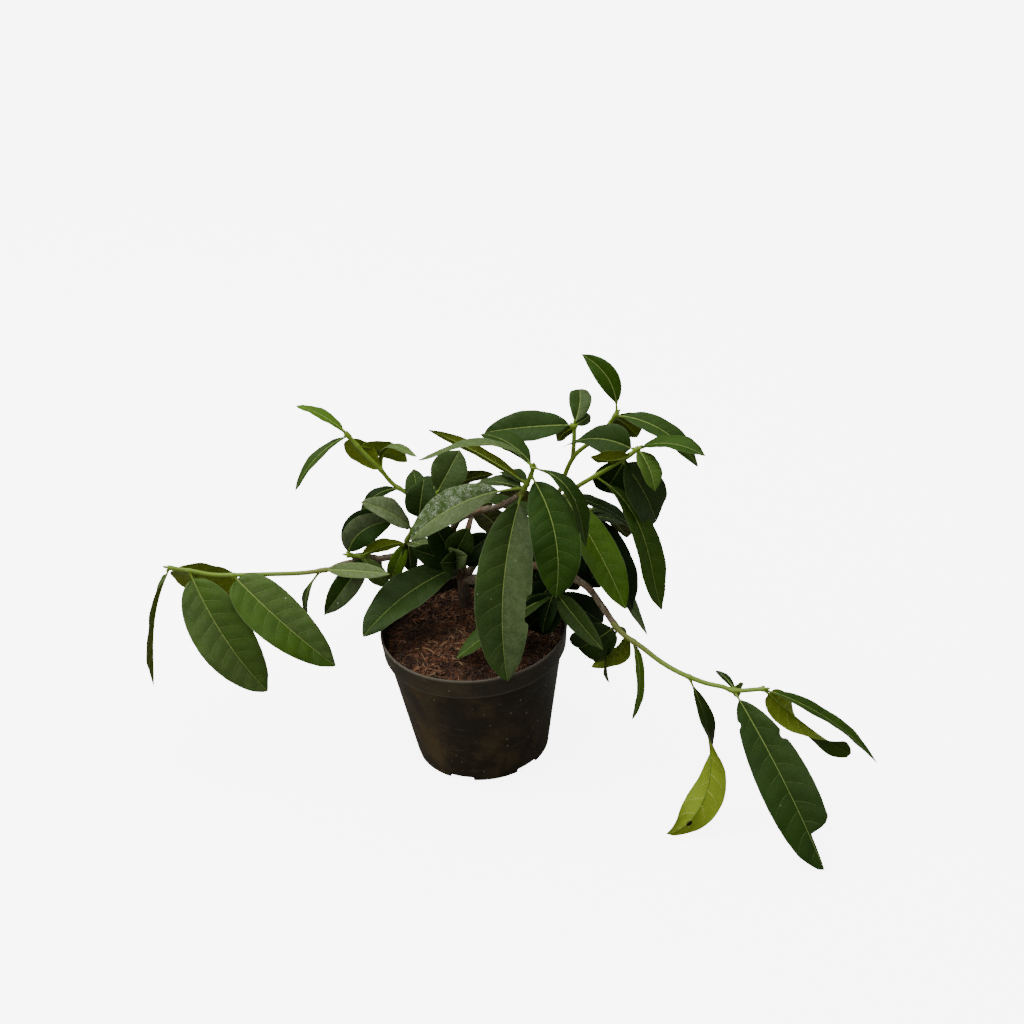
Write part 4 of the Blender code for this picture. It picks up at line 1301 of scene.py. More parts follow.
# A leaf grows at a share of its twig's length and ends at its tip. Its midrib arches towards the
# upper face and bends sideways, most at the share peak. The halves fold up about it, and the blade
# twists towards the tip. The petiole is a share of the leaf. A small taper rounds the blade's tip.
# A bite (hand, from, to, keep) leaves only a part of one half's width along a share of the blade.
Leaf = namedtuple("Leaf", "at tip width arch face fold bend twist peak wave widest twig bites petiole"
                  " taper", defaults=(0.008, UP, 14, 0.0, 0, 0.5, 0.0012, 0.48, "main", (), 0.06, 0.70))

# A leafy shoot: the branch it grows on, its green twigs and its leaves
Shoot = namedtuple("Shoot", "branch twigs leaves")
SHOOTS = {}


def count_leaves(where, *names):
    print("leaves", where + ":", sum(len(SHOOTS[name].leaves) for name in names))


# %% [markdown]
# On the left one long green stem reaches far out, and large leaves hang from it. Above it a thin stem
# goes up to a tuft of small leaves, and two short sprays grow close to the crown.

# %% Shoots on the left
SHOOTS.update({
    "left_shoot": Shoot(
        "left",
        {"main": [(-0.155, 0.038, 0.176), (-0.190, 0.036, 0.179), (-0.231, 0.034, 0.183),
                  (-0.252, 0.034, 0.189), (-0.274, 0.034, 0.195)]},
        [Leaf(0.99, (-0.305, 0.020, 0.074), 0.034, 0.0075, LEFT, peak=0.42),
         Leaf(0.97, (-0.227, 0.092, 0.097), 0.052, 0.009, BACK),
         Leaf(0.87, (-0.196, 0.000, 0.073), 0.054, 0.008, (0.2, -0.95, 0.5), bend=0.006,
              widest=0.42),
         Leaf(0.61, (-0.130, 0.000, 0.096), 0.048, 0.008, (0.25, -0.9, 0.6), bend=0.003,
              widest=0.36, petiole=0.04),
         Leaf(0.09, (-0.154, 0.030, 0.136), 0.011, 0.007, (-0.8, -0.6, 0.2), widest=0.68),
         Leaf(0.06, (-0.071, 0.002, 0.191), 0.016, 0.003, (0.0, -0.6, 0.8))]),
    "upper_left_shoot": Shoot(
        "upper_left",
        {"main": [(-0.051, 0.070, 0.232), (-0.065, 0.074, 0.243), (-0.075, 0.076, 0.258),
                  (-0.087, 0.078, 0.273), (-0.103, 0.082, 0.295)]},
        [Leaf(0.99, (-0.146, 0.100, 0.316), 0.018, 0.004, (0.0, 0.1, 1.0)),
         Leaf(0.97, (-0.152, 0.060, 0.251), 0.015, 0.008, (-1.0, -0.5, 0.4)),
         Leaf(0.95, (-0.075, 0.090, 0.250), 0.027, 0.004, BACK, bend=-0.006),
         Leaf(0.86, (-0.052, 0.112, 0.243), 0.024, 0.004, BACK),
         Leaf(0.60, (-0.039, 0.060, 0.277), 0.015, 0.017, (0.0, 0.2, 1.0), peak=0.42),
         Leaf(0.40, (-0.096, 0.060, 0.220), 0.015, 0.010, (-0.8, -0.5, 0.5)),
         Leaf(0.25, (-0.048, 0.140, 0.186), 0.030)]),
    "left_low_spray": Shoot(
        "left_low",
        {"main": [(-0.098, 0.034, 0.192), (-0.110, 0.032, 0.196)]},
        [Leaf(0.97, (-0.065, 0.036, 0.226), 0.028, 0.008, FRONT, bend=-0.010),
         Leaf(0.16, (-0.138, 0.030, 0.133), 0.025, 0.008, FRONT, widest=0.38, taper=0.9),
         Leaf(0.40, (-0.077, 0.034, 0.158), 0.018, 0.004, FRONT),
         Leaf(0.50, (-0.056, 0.022, 0.210), 0.018, 0.004, BACK),
         Leaf(0.90, (-0.094, 0.104, 0.120), 0.030),
         Leaf(0.99, (-0.070, 0.048, 0.223), 0.028, -0.004, FRONT, bend=-0.011)]),
    "left_upright_spray": Shoot(
        "left_upright",
        {"main": [(-0.050, 0.042, 0.210), (-0.038, 0.044, 0.228), (-0.024, 0.046, 0.246)]},
        [Leaf(0.30, (-0.091, 0.026, 0.254), 0.028, 0.006, (0.2, -0.4, 0.9), taper=0.9),
         Leaf(0.60, (-0.044, 0.066, 0.261), 0.022, 0.006, FRONT),
         Leaf(0.98, (-0.001, 0.072, 0.274), 0.034, 0.006, FRONT, taper=0.9),
         Leaf(0.90, (0.028, 0.074, 0.245), 0.020, 0.006, BACK),
         Leaf(0.15, (-0.054, 0.043, 0.165), 0.015, 0.003, FRONT),
         Leaf(0.05, (-0.029, 0.020, 0.198), 0.020, 0.004, UP),
         Leaf(0.10, (-0.075, 0.044, 0.157), 0.016, 0.004, FRONT),
         Leaf(0.50, (-0.035, 0.054, 0.256), 0.030, 0.006, FRONT),
         Leaf(0.80, (-0.020, 0.120, 0.216), 0.032)]),
})
count_leaves("on the left", "left_shoot", "upper_left_shoot", "left_low_spray", "left_upright_spray")

# %% [markdown]
# In the middle, the front shoot has the largest leaves, one of them over the pot's front. Behind it
# a forked shoot is the plant's top, and a low spray fills the crown. One of its leaves lies
# over the rim.

# %% Shoots in the middle
SHOOTS.update({
    "crown_spray": Shoot(
        "crown",
        {"main": [(-0.010, 0.030, 0.182), (-0.014, 0.025, 0.192)]},
        [Leaf(0.15, (-0.099, -0.022, 0.142), 0.042, 0.004, (0.0, -0.3, 0.9), bend=0.007),
         Leaf(0.80, (-0.024, -0.008, 0.206), 0.028, 0.006, FRONT),
         Leaf(0.97, (0.000, -0.006, 0.210), 0.022, 0.004, FRONT),
         Leaf(0.60, (0.014, 0.042, 0.189), 0.026, 0.004, FRONT),
         Leaf(0.75, (0.022, 0.034, 0.205), 0.026, 0.004, FRONT),
         Leaf(0.50, (-0.031, 0.020, 0.234), 0.030, 0.004, FRONT),
         Leaf(0.98, (0.003, 0.008, 0.230), 0.026, 0.004, FRONT),
         Leaf(0.40, (-0.049, 0.014, 0.209), 0.024, 0.004, FRONT)]),
    "centre_shoot": Shoot(
        "centre",
        {"main": [(0.057, -0.016, 0.286), (0.061, -0.020, 0.297), (0.063, -0.024, 0.307)]},
        [Leaf(0.97, (-0.034, -0.020, 0.318), 0.020, 0.018, (0.0, 0.18, 0.98), peak=0.42),
         Leaf(0.98, (0.020, 0.010, 0.322), 0.026, 0.008, taper=0.9),
         Leaf(0.45, (-0.026, 0.040, 0.314), 0.016, 0.004, BACK),
         Leaf(0.40, (0.036, 0.036, 0.268), 0.018, 0.004),
         Leaf(0.25, (0.012, 0.030, 0.262), 0.022, 0.004),
         Leaf(0.30, (-0.048, -0.012, 0.234), 0.034, 0.008, (0.0, -0.5, 0.85), bend=0.008,
              petiole=0.20),
         Leaf(0.14, (0.028, -0.088, 0.131), 0.052, 0.010, FRONT, 20, bend=0.010, widest=0.48,
              bites=((-1, 0.50, 0.66, 0.82),), taper=0.60),
         Leaf(0.70, (0.074, -0.080, 0.209), 0.043, 0.012, FRONT, 12, bend=-0.010, widest=0.50,
              taper=0.62),
         Leaf(0.96, (0.103, -0.060, 0.245), 0.026, 0.017, (0.7, -0.3, 0.6), peak=0.42,
              widest=0.54)]),
    "top_shoot": Shoot(
        "top",
        {"main": [(0.086, 0.030, 0.249), (0.093, 0.030, 0.269), (0.099, 0.030, 0.281),
                  (0.106, 0.028, 0.290), (0.124, 0.024, 0.306), (0.139, 0.022, 0.327)],
         "side": [(0.099, 0.030, 0.281), (0.101, 0.032, 0.298), (0.102, 0.034, 0.313)]},
        [Leaf(0.97, (0.023, 0.046, 0.304), 0.030, 0.004, (0.0, -0.6, 0.75), twig="side"),
         Leaf(0.98, (0.109, 0.066, 0.330), 0.021, 0.004, FRONT, bend=0.002, widest=0.62,
              twig="side", taper=0.45),
         Leaf(0.95, (0.117, 0.050, 0.312), 0.011, 0.003, FRONT, twig="side"),
         Leaf(0.99, (0.111, 0.040, 0.377), 0.020, 0.006, FRONT, bend=0.009, petiole=0.14, taper=0.95),
         Leaf(0.98, (0.205, -0.006, 0.284), 0.023, 0.016, (0.2, -0.4, 0.85)),
         Leaf(0.96, (0.157, 0.036, 0.294), 0.030, 0.004, BACK),
         Leaf(0.90, (0.086, 0.030, 0.299), 0.016, 0.003, BACK, twig="side")]),
})
count_leaves("in the middle", "crown_spray", "centre_shoot", "top_shoot")

# %% [markdown]
# On the right one shoot goes up, with long hanging leaves, and another far out and down to the ground.
# The far one has the damaged leaves: one is bitten, and two are twisted so far that their undersides
# show. Two sprays between them are mostly in shade.

# %% Shoots on the right
SHOOTS.update({
    "right_upper_shoot": Shoot(
        "right_upper",
        {"main": [(0.103, 0.008, 0.266), (0.124, 0.000, 0.283), (0.145, -0.008, 0.301),
                  (0.154, -0.010, 0.309)]},
        [Leaf(0.99, (0.206, -0.046, 0.317), 0.026, 0.008),
         Leaf(0.98, (0.164, -0.040, 0.283), 0.022, 0.005, (0.5, -0.8, 0.4)),
         Leaf(0.96, (0.090, 0.020, 0.298), 0.030, 0.003, (0.0, -0.9, 0.45), bend=0.009, twist=60,
              widest=0.25, taper=2.0),
         Leaf(0.90, (0.112, -0.014, 0.306), 0.026, -0.004, (0.0, 0.75, 0.55)),
         Leaf(0.80, (0.168, -0.002, 0.229), 0.043, 0.006, (0.5, -0.7, 0.4)),
         Leaf(0.50, (0.168, -0.042, 0.162), 0.030, 0.014, (0.6, -0.7, 0.4), bend=-0.008,
              peak=0.38, widest=0.58),
         Leaf(0.10, (0.135, -0.054, 0.174), 0.034, 0.010, (0.3, -0.8, 0.5)),
         Leaf(0.12, (0.151, 0.010, 0.214), 0.021, 0.006),
         Leaf(0.86, (0.125, 0.024, 0.248), 0.036, 0.004, FRONT)]),
    "right_spray": Shoot(
        "right_inner",
        {"main": [(0.086, 0.030, 0.206), (0.100, 0.028, 0.218), (0.112, 0.026, 0.228)]},
        [Leaf(0.97, (0.145, 0.006, 0.130), 0.034, 0.008, (0.6, -0.75, 0.3)),
         Leaf(0.80, (0.156, 0.040, 0.192), 0.036, 0.006),
         Leaf(0.40, (0.160, 0.020, 0.092), 0.026, 0.006, (0.95, -0.25, 0.2)),
         Leaf(0.90, (0.150, 0.100, 0.150), 0.036),
         Leaf(0.60, (0.070, 0.115, 0.180), 0.036),
         Leaf(0.15, (0.097, 0.012, 0.153), 0.034, 0.004, FRONT),
         Leaf(0.05, (0.056, 0.016, 0.161), 0.034, 0.004, FRONT),
         Leaf(0.25, (0.118, 0.018, 0.150), 0.028, 0.004, FRONT)]),
    "right_low_spray": Shoot(
        "right_low",
        {"main": [(0.077, -0.011, 0.176), (0.078, -0.014, 0.166)]},
        [Leaf(0.95, (0.112, -0.084, 0.154), 0.020, 0.006, FRONT, widest=0.42),
         Leaf(0.90, (0.048, -0.014, 0.133), 0.038, 0.006, FRONT),
         Leaf(0.80, (-0.016, -0.044, 0.127), 0.032, 0.004, UP),
         Leaf(0.60, (0.062, -0.032, 0.140), 0.020, 0.003, UP),
         Leaf(0.25, (0.040, -0.004, 0.136), 0.036, 0.004, FRONT),
         Leaf(0.80, (0.118, 0.002, 0.122), 0.030, 0.004, FRONT)]),
    "right_long_shoot": Shoot(
        "right",
        {"main": [(0.133, -0.063, 0.152), (0.147, -0.071, 0.144), (0.162, -0.080, 0.134),
                  (0.178, -0.089, 0.127), (0.198, -0.096, 0.120), (0.213, -0.101, 0.118),
                  (0.224, -0.104, 0.115), (0.249, -0.108, 0.118)]},
        [Leaf(0.01, (0.103, -0.050, 0.111), 0.024, 0.021, (1.0, 0.1, 0.3), peak=0.44),
         Leaf(0.17, (0.136, -0.080, 0.073), 0.014, 0.007, (0.8, -0.6, 0.2), taper=0.35),
         Leaf(0.03, (0.093, -0.026, 0.116), 0.036, 0.006, FRONT, taper=0.35),
         Leaf(0.05, (0.119, -0.044, 0.088), 0.022, 0.006, LEFT),
         Leaf(0.55, (0.156, -0.160, 0.008), 0.034, 0.004, FRONT, bend=-0.030, twist=-205,
              peak=0.60, widest=0.62, taper=0.45),
         Leaf(0.82, (0.282, -0.220, 0.010), 0.047, 0.010, FRONT, bend=-0.003, widest=0.56,
              bites=((-1, 0.26, 0.30, 0.82), (1, 0.11, 0.14, 0.8), (-1, 0.765, 1.0, 0.85),
                     (-1, 0.795, 1.0, 0.12)), taper=0.5),
         Leaf(0.99, (0.326, -0.110, 0.041), 0.033, 0.004, (0.0, 1.0, 0.0), twist=-185,
              bend=-0.006, peak=0.58, widest=0.50, petiole=0.07, taper=0.40),
         Leaf(0.99, (0.348, -0.116, 0.033), 0.022, 0.010, UP),
         Leaf(0.83, (0.213, -0.060, 0.105), 0.008, 0.003),
         Leaf(0.80, (0.232, -0.086, 0.104), 0.014, 0.002, FRONT)]),
})
count_leaves("on the right", "right_upper_shoot", "right_spray", "right_low_spray", "right_long_shoot")

# %% [markdown]
# A shoot to the back, so that the plant isn't bare from behind. Its leaves hang over the rim there.

# %% Shoot at the back
SHOOTS.update({
    "back_shoot": Shoot(
        "back",
        {"main": [(0.010, 0.122, 0.184), (0.016, 0.146, 0.176), (0.020, 0.168, 0.164)]},
        [Leaf(0.98, (0.000, 0.236, 0.100), 0.036, face=BACK),
         Leaf(0.94, (0.078, 0.208, 0.110), 0.036, face=BACK),
         Leaf(0.75, (-0.046, 0.206, 0.112), 0.038, face=BACK),
         Leaf(0.55, (0.088, 0.168, 0.120), 0.036),
         Leaf(0.30, (-0.058, 0.158, 0.122), 0.038),
         Leaf(0.15, (0.046, 0.172, 0.086), 0.034, 0.012, BACK)]),
})
count_leaves("at the back", "back_shoot")
count_leaves("in all", *SHOOTS)

# %% [markdown]
# A young leaf is yellower, and a leaf that faces the sky gets a painted grey sheen. The plant has
# every kind: bright new leaves at the tips, nearly black ones inside, darkened with painted shade.
# This table gives each leaf its youth, its painted sheen, how far the sheen leans to one half, how
# much painted shade darkens its upper side, and whether a painted net of sheen lies on its other half.

# %% How each leaf looks
Look = namedtuple("Look", "young bloom lean shade worn", defaults=(0.2, 0.05, 0.0, 0.3, 0.0))
LOOKS = {
    "left_shoot": [(0.40, 0.30, 0.0, 0.2), (0.80, 0.0, 0.0, 0.35), (0.40, 0.27, 0.3, 0.0),
        (0.42, 0.24, -0.5, 0.0), (0.20, 0.25, 0.0, 0.3), (0.50, 0.75, 0.0, 0.0)],
    "upper_left_shoot": [(0.60, 0.05, 0.0, 0.0), (0.35, 0.1, 0.0, 0.3), (1.00,), (0.85,),
        (0.50, 0.5, 0.0, 0.0), (0.15, 0.0, 0.0, 0.4), ()],
    "left_low_spray": [(0.15, 0.35, -1.0, 0.2), (0.20, 0.28, -1.0, 0.25), (0.50, 0.4, 0.0, 0.0),
        (0.60,), (), (0.10, 0.0, 0.0, 0.5)],
    "left_upright_spray": [(0.35, 0.95, 0.0, 0.0), (0.30, 0.1, 0.0, 0.2), (0.30, 0.25, 0.0, 0.25),
        (0.30,), (0.10, 0.1, 0.0, 0.35), (0.45, 0.75, 0.0, 0.0), (0.75, 0.1, 0.0, 0.0),
        (0.20, 0.05, 0.0, 0.3), ()],
    "crown_spray": [(0.20, 0.08, 0.0, 0.35), (0.20, 0.1, 0.0, 0.4), (0.30, 0.55, 0.0, 0.1),
        (0.05, 0.0, 0.0, 0.6), (0.05, 0.0, 0.0, 0.6), (0.15, 0.05, 0.0, 0.45), (0.28, 0.1, 0.0, 0.25),
        (0.15, 0.05, 0.0, 0.5)],
    "centre_shoot": [(0.40, 0.50, 0.0, 0.0), (0.28, 0.0, 0.0, 0.35), (0.35,), (0.20,),
        (0.20, 0.25, 0.0, 0.1), (0.25, 0.45, -0.4, 0.0, 1.0), (0.17, 0.32, -0.5, 0.0),
        (0.20, 0.0, 0.0, 0.1), (0.22, 0.0, 0.0, 0.35)],
    "top_shoot": [(0.20, 0.05, 0.0, 0.15), (0.30, 0.25, 0.6, 0.2), (0.20, 0.1, 0.0, 0.3),
        (0.30, 0.0, 0.0, 0.05), (0.25, 0.05, 0.0, 0.1), (0.35,), (0.25,)],
    "right_upper_shoot": [(0.28, 0.0, 0.0, 0.15), (0.50, 0.2, 0.0, 0.0), (0.20, 0.05, 0.0, 0.35),
        (0.50,), (0.15, 0.15, 0.0, 0.3), (0.34, 0.05, 0.0, 0.25), (0.45, 0.05, 0.0, 0.0),
        (0.10, 0.05, 0.0, 0.4), (0.15, 0.0, 0.0, 0.45)],
    "right_spray": [(0.0, 0.0, 0.0, 0.6), (0.10, 0.1, 0.0, 0.4), (0.30, 0.4, 0.0, 0.0), (0.10,),
        (0.10,), (0.05, 0.0, 0.0, 0.55), (0.05, 0.0, 0.0, 0.55), (0.08, 0.0, 0.0, 0.45)],
    "right_low_spray": [(0.38, 0.1, 0.0, 0.55), (0.0, 0.0, 0.0, 0.6), (0.25, 0.1, 0.0, 0.1),
        (0.0, 0.0, 0.0, 0.5), (0.0, 0.0, 0.0, 0.5), (0.05, 0.0, 0.0, 0.5)],
    "right_long_shoot": [(0.45, 0.0, 0.0, 0.1), (0.65, 0.1, 0.0, 0.0), (0.15, 0.1, 0.0, 0.4),
        (0.10, 0.0, 0.0, 0.4), (0.75, 0.0, 0.0, 0.9), (0.22, 0.05, -0.8, 0.35), (0.60, 0.1, 0.0, 0.5),
        (0.30, 0.0, 0.0, 0.2), (0.10, 0.0, 0.0, 0.4), (0.60, 0.0, 0.0, 0.0)],
    "back_shoot": [],
}


def look_of(name, number):
    looks = LOOKS[name]
    return Look(*looks[number]) if number < len(looks) else Look()


print("leaves with a row of their own:", sum(len(looks) for looks in LOOKS.values()))

# %% [markdown]
# A leaf's midrib is a soft arch from its root on the stem to its tip. It rises towards the upper
# face and bends sideways, most at one share of its length. A frame of three directions rides along
# it, and turns about it where the leaf is twisted. A bent and twisted flat grid could be had from
# modifiers too, but ninety leaves would need ninety sets of them.

# %% The midrib
MIDRIB_STEP = 0.01


def midrib_frames(root, leaf, shares):
    """Points on the midrib, and the ways forward, sideways and up from each."""
    tip = np.array(leaf.tip, float)
    chord = unit(tip - root)
    face = np.array(leaf.face, float)
    face = unit(face - chord * (face @ chord))
    bulge = face * leaf.arch + np.cross(chord, face) * leaf.bend
    fall = (1 - leaf.peak) / leaf.peak
    height = leaf.peak * (1 - leaf.peak) ** fall

    def midrib(share):
        share = np.clip(share, 0.0, 1.0)[:, None]
        return root + (tip - root) * share + bulge * share * (1 - share) ** fall / height

    way = unit(midrib(shares + MIDRIB_STEP) - midrib(shares - MIDRIB_STEP))
    side = unit(np.cross(way, face))
    turn = math.radians(leaf.twist) * shares[:, None]
    side = side * np.cos(turn) + np.cross(way, side) * np.sin(turn)
    return midrib(shares), way, side, np.cross(side, way)


straight = Leaf(0.0, (0.0, -0.1, 0.0), 0.03)
print("top of a 100 mm leaf's arch:",
      round(midrib_frames(np.zeros(3), straight, np.array([0.5]))[0][0, 2] * 1000, 1), "mm")

# %% [markdown]
# Seen flat, the blade is a long oval that is widest at or just past its middle and drawn out at the
# tip, with small teeth along the edge. Two powers of the length give the oval. A bite takes a share of
# the width away from one half, with a soft step at both ends, so that the torn edge stays round.

# %% The outline
PETIOLE_RADIUS = 0.0011
TOOTH_COUNT = 11
TOOTH_DEPTH = 0.012
TIP_NARROWING = 0.20
BITE_SOFTNESS = 0.012
LEAST_HALF = 0.00012


def soft_step(value, low, high):
    share = np.clip((value - low) / (high - low), 0.0, 1.0)
    return share * share * (3 - 2 * share)


def half_width(leaf, blade, hand, seed):
    """Half the blade's width at shares of its length, with its teeth and bites."""
    rise = leaf.taper * leaf.widest / (1 - leaf.widest)
    peak = leaf.widest ** rise * (1 - leaf.widest) ** leaf.taper
    inside = np.clip(blade, 1e-6, 1 - 1e-6)
    shape = inside ** rise * (1 - inside) ** leaf.taper / peak
    shape = shape * (1 - TIP_NARROWING * soft_step(blade, 0.88, 1.0))
    teeth = (blade * TOOTH_COUNT + 0.3 * hand + 0.17 * seed) % 1.0
    shape = shape * (1 + TOOTH_DEPTH * (teeth - 0.5) * soft_step(blade, 0.15, 0.4))
    for bitten, start, end, keep in leaf.bites:
        if bitten == hand:
            gone = soft_step(blade, start - BITE_SOFTNESS, start + BITE_SOFTNESS)
            if end < 1:
                gone = gone * (1 - soft_step(blade, end - BITE_SOFTNESS, end + BITE_SOFTNESS))
            shape = shape * (1 - (1 - keep) * gone)
    return np.maximum(leaf.width / 2 * shape, PETIOLE_RADIUS * (1 - blade) + LEAST_HALF)


print("half the width halfway:", round(half_width(straight, np.array([0.5]), 1, 0)[0] * 1000, 1), "mm")

# %% [markdown]
# A leaf is a grid of points: rows along the midrib, columns across. Each row stands on the midrib's
# own frame, so the whole blade bends and twists with it. Across, the halves fold up in a soft
# curve, the edge waves and rolls down, and the skin swells between the side veins. A subdivision
# surface would smooth a coarse grid, but it would also lose the swelling, which is what catches light.

# %% The blade's grid
OUTER_STEPS = (0.16, 0.34, 0.52, 0.70, 0.87, 1.0)
RIB_COLUMNS = 3
RIB_REACH = 0.0016
ROW_STEP = 0.0022
WAVE_RATE = 13.0
WAVY_WIDTH = 0.045
RIPPLE = 0.00040
RIPPLE_RATE = 31.0
QUILT = 0.00038
ROLL = 0.0005
BROAD_WAVE = 0.0009
VEINS_A_SIDE = 9
VEIN_SWEEP = 0.95
Grid = namedtuple("Grid", "blade centre way side up across lift edge length")


def blade_rows(length):
    """Shares of the blade's length for its rows, closer together at both ends."""
    even = np.linspace(0, 1, max(26, int(length / ROW_STEP)))
    return even - 0.10 * np.sin(math.tau * even) / math.tau * 2


def vein_count(blade, edge, hand):
    """How many side veins lie below a point. The left half's veins are half a step on."""
    swept = VEIN_SWEEP * (0.5 * edge + 0.5 * edge ** 2)
    return VEINS_A_SIDE * blade - swept + np.where(hand < 0, 0.5, 0.0)


def skin_height(leaf, blade, edge, half, hand, seed):
    """How far one column of the blade stands off the midrib's level."""
    size = min(1.0, leaf.width / WAVY_WIDTH)
    spread = np.minimum(1.0, half / (4 * PETIOLE_RADIUS))
    rise = half * math.sin(math.radians(leaf.fold)) * spread * (1.35 * edge - 0.35 * edge ** 2)
    wave = leaf.wave * size * spread * np.sin(hand + WAVE_RATE * blade) * edge ** 1.5
    ripple = RIPPLE * size * spread * np.sin(hand * 2 + RIPPLE_RATE * blade + seed) * edge ** 4
    swell = 1 - np.cos(math.tau * vein_count(blade, edge, hand))
    quilt = QUILT * size * swell * np.sin(math.pi * edge ** 0.8) * spread
    roll = ROLL * soft_step(edge, 0.8, 1.0) * spread
    broad = np.array([noise.noise(Vector((share * 3.0, hand * out * 1.2, seed * 3.7)))
                      for share, out in zip(blade, edge)]) * BROAD_WAVE * size * spread * edge
    return rise + wave + ripple + quilt - roll + broad


def blade_grid(root, leaf, seed):
    length = np.linalg.norm(np.array(leaf.tip) - root)
    blade = blade_rows(length)
    columns = len(OUTER_STEPS) + RIB_COLUMNS - 1
    across, lift, edges = [], [], []
    for number in range(-columns, columns + 1):
        hand = -1 if number < 0 else 1
        half = half_width(leaf, blade, hand, seed)
        near = np.minimum(RIB_REACH / half, 0.35)
        step = abs(number)
        edge = near * (0.0, 0.42, 1.0)[step] if step < RIB_COLUMNS else (
            near + (1 - near) * OUTER_STEPS[step - RIB_COLUMNS])
        across.append(hand * half * edge * math.cos(math.radians(leaf.fold)))
        lift.append(skin_height(leaf, blade, edge, half, hand, seed))
        edges.append(edge)
    frames = midrib_frames(root, leaf, leaf.petiole + (1 - leaf.petiole) * blade)
    return Grid(blade, *frames, *(np.array(table).T for table in (across, lift, edges)), length)


print("rows and columns of a 100 mm leaf:", blade_grid(np.zeros(3), straight, 0).across.shape)

# %% [markdown]
# The dead spot is real geometry. The grid points round it are moved onto a circle, and the squares
# inside the circle take the dead material. A boolean would cut a truer circle, but it would also
# break up the grid that the veins need.

# %% Dead spot
Spot = namedtuple("Spot", "share edge radius")
SPOTS = {("right_long_shoot", 4): Spot(0.90, 0.08, 0.0024)}


def spot_squares(spot, grid):
    """Which squares lie in a dead spot, and how far the points round it move."""
    rows, columns = grid.across.shape
    centre = np.array([spot.edge * np.abs(grid.across).max(), spot.share * grid.length])
    flat = np.stack([grid.across, np.repeat((grid.blade * grid.length)[:, None], columns, 1)], axis=-1)
    middles = (flat[:-1, :-1] + flat[1:, :-1] + flat[:-1, 1:] + flat[1:, 1:]) / 4
    dead = np.linalg.norm(middles - centre, axis=-1) < spot.radius
    touched = np.zeros((rows, columns, 2), bool)
    for kind, squares in enumerate((dead, ~dead)):
        for row, column in np.argwhere(squares):
            touched[row:row + 2, column:column + 2, kind] = True
    rim = touched.all(axis=-1)
    target = centre + unit(flat - centre) * spot.radius
    return dead, np.where(rim[..., None], target - flat, 0.0)


print("dead spots:", len(SPOTS))

# %% [markdown]
# The grid becomes a closed blade: an upper skin, an under skin a little below it, and a thin rim
# between. The Solidify modifier does the same for an even thickness, but this blade is thinner at
# its edge and grooved over its midrib, and each skin needs to know which side it is.

# %% The blade's skin
BLADE_HALF_THICKNESS = 0.00023
EDGE_HALF_THICKNESS = 0.00011
GROOVE_DEPTH = 0.00032
GROOVE_WIDTH = 0.0007
LEAF_SLOT, STEM_SLOT, DEAD_SLOT = 0, 1, 2


def blade_points(grid, shift):
    """The points of the upper skin, then those of the under skin."""
    middle = (grid.centre[:, None] + grid.side[:, None] * (grid.across + shift[..., 0])[..., None]
              + grid.way[:, None] * shift[..., 1][..., None] + grid.up[:, None] * grid.lift[..., None])
    thick = EDGE_HALF_THICKNESS + (BLADE_HALF_THICKNESS - EDGE_HALF_THICKNESS) * (1 - grid.edge ** 6)
    groove = GROOVE_DEPTH * np.exp(-(grid.across / GROOVE_WIDTH) ** 2) * (1 - grid.blade[:, None])
    above = middle + grid.up[:, None] * (thick - groove)[..., None]
    below = middle - grid.up[:, None] * thick[..., None]
    return np.vstack([above.reshape(-1, 3), below.reshape(-1, 3)])


def blade_faces(rows, columns, dead):
    """The faces of both skins and of the rim between them, and each face's material slot."""
    under = rows * columns
    faces, slots = [], []
    for row in range(rows - 1):
        for column in range(columns - 1):
            a = row * columns + column
            b, c, d = a + 1, a + columns + 1, a + columns
            faces += [(a, b, c, d), (under + a, under + d, under + c, under + b)]
            slots += [DEAD_SLOT if dead[row, column] else LEAF_SLOT] * 2
            for near, far, first, second in ((row - 1, column, a, b), (row, column + 1, b, c),
                                             (row + 1, column, c, d), (row, column - 1, d, a)):
                if not (0 <= near < rows - 1 and 0 <= far < columns - 1):
                    faces.append((second, first, under + first, under + second))
                    slots.append(LEAF_SLOT)
    return faces, slots


print("faces of a blade of 26 rows and 17 columns:", len(blade_faces(26, 17, np.zeros((25, 16)))[0]))

# %% [markdown]
# Each point of the blade carries nine numbers for the leaf material, in three attributes: its place on
# the leaf, the leaf's look, and its side. The same numbers go to both skins, except the one that says
# which skin it is.

# %% One leaf
FIRST_VEIN = 20


def leaf_values(grid, look):
    hand = np.sign(grid.across)
    even = np.ones_like(grid.edge)
    along = grid.blade[:, None] * even
    count = vein_count(grid.blade[:, None], grid.edge, hand)
    # Painted sheen, leaning to one half as if that half faced the light.
    bloom = np.clip(look.bloom * (1 + look.lean * hand), 0.0, 1.0)
    tables = {"leaf_place": (along, np.abs(grid.across) * 1000, grid.edge),
              "leaf_look": (count + FIRST_VEIN, even * look.young, bloom)}
    values = {name: np.vstack([np.stack(table, axis=-1).reshape(-1, 3)] * 2)
              for name, table in tables.items()}
    # The side: which skin, the painted shade, and the painted net of sheen on one half.
    values["leaf_side"] = np.vstack([
        np.stack((even * under, even * look.shade, look.worn * (hand > 0)), axis=-1).reshape(-1, 3)
        for under in (0, 1)])
    return values


def add_leaf(pile, root, leaf, look, seed, spot=None):
    grid = blade_grid(root, leaf, seed)
    rows, columns = grid.across.shape
    dead, shift = np.zeros((rows - 1, columns - 1), bool), np.zeros((rows, columns, 2))
    if spot:
        dead, shift = spot_squares(spot, grid)
    faces, slots = blade_faces(rows, columns, dead)
    pile.add(blade_points(grid, shift), faces, slots, **leaf_values(grid, look))


print("attributes of a leaf:", list(leaf_values(blade_grid(np.zeros(3), straight, 0), Look())))

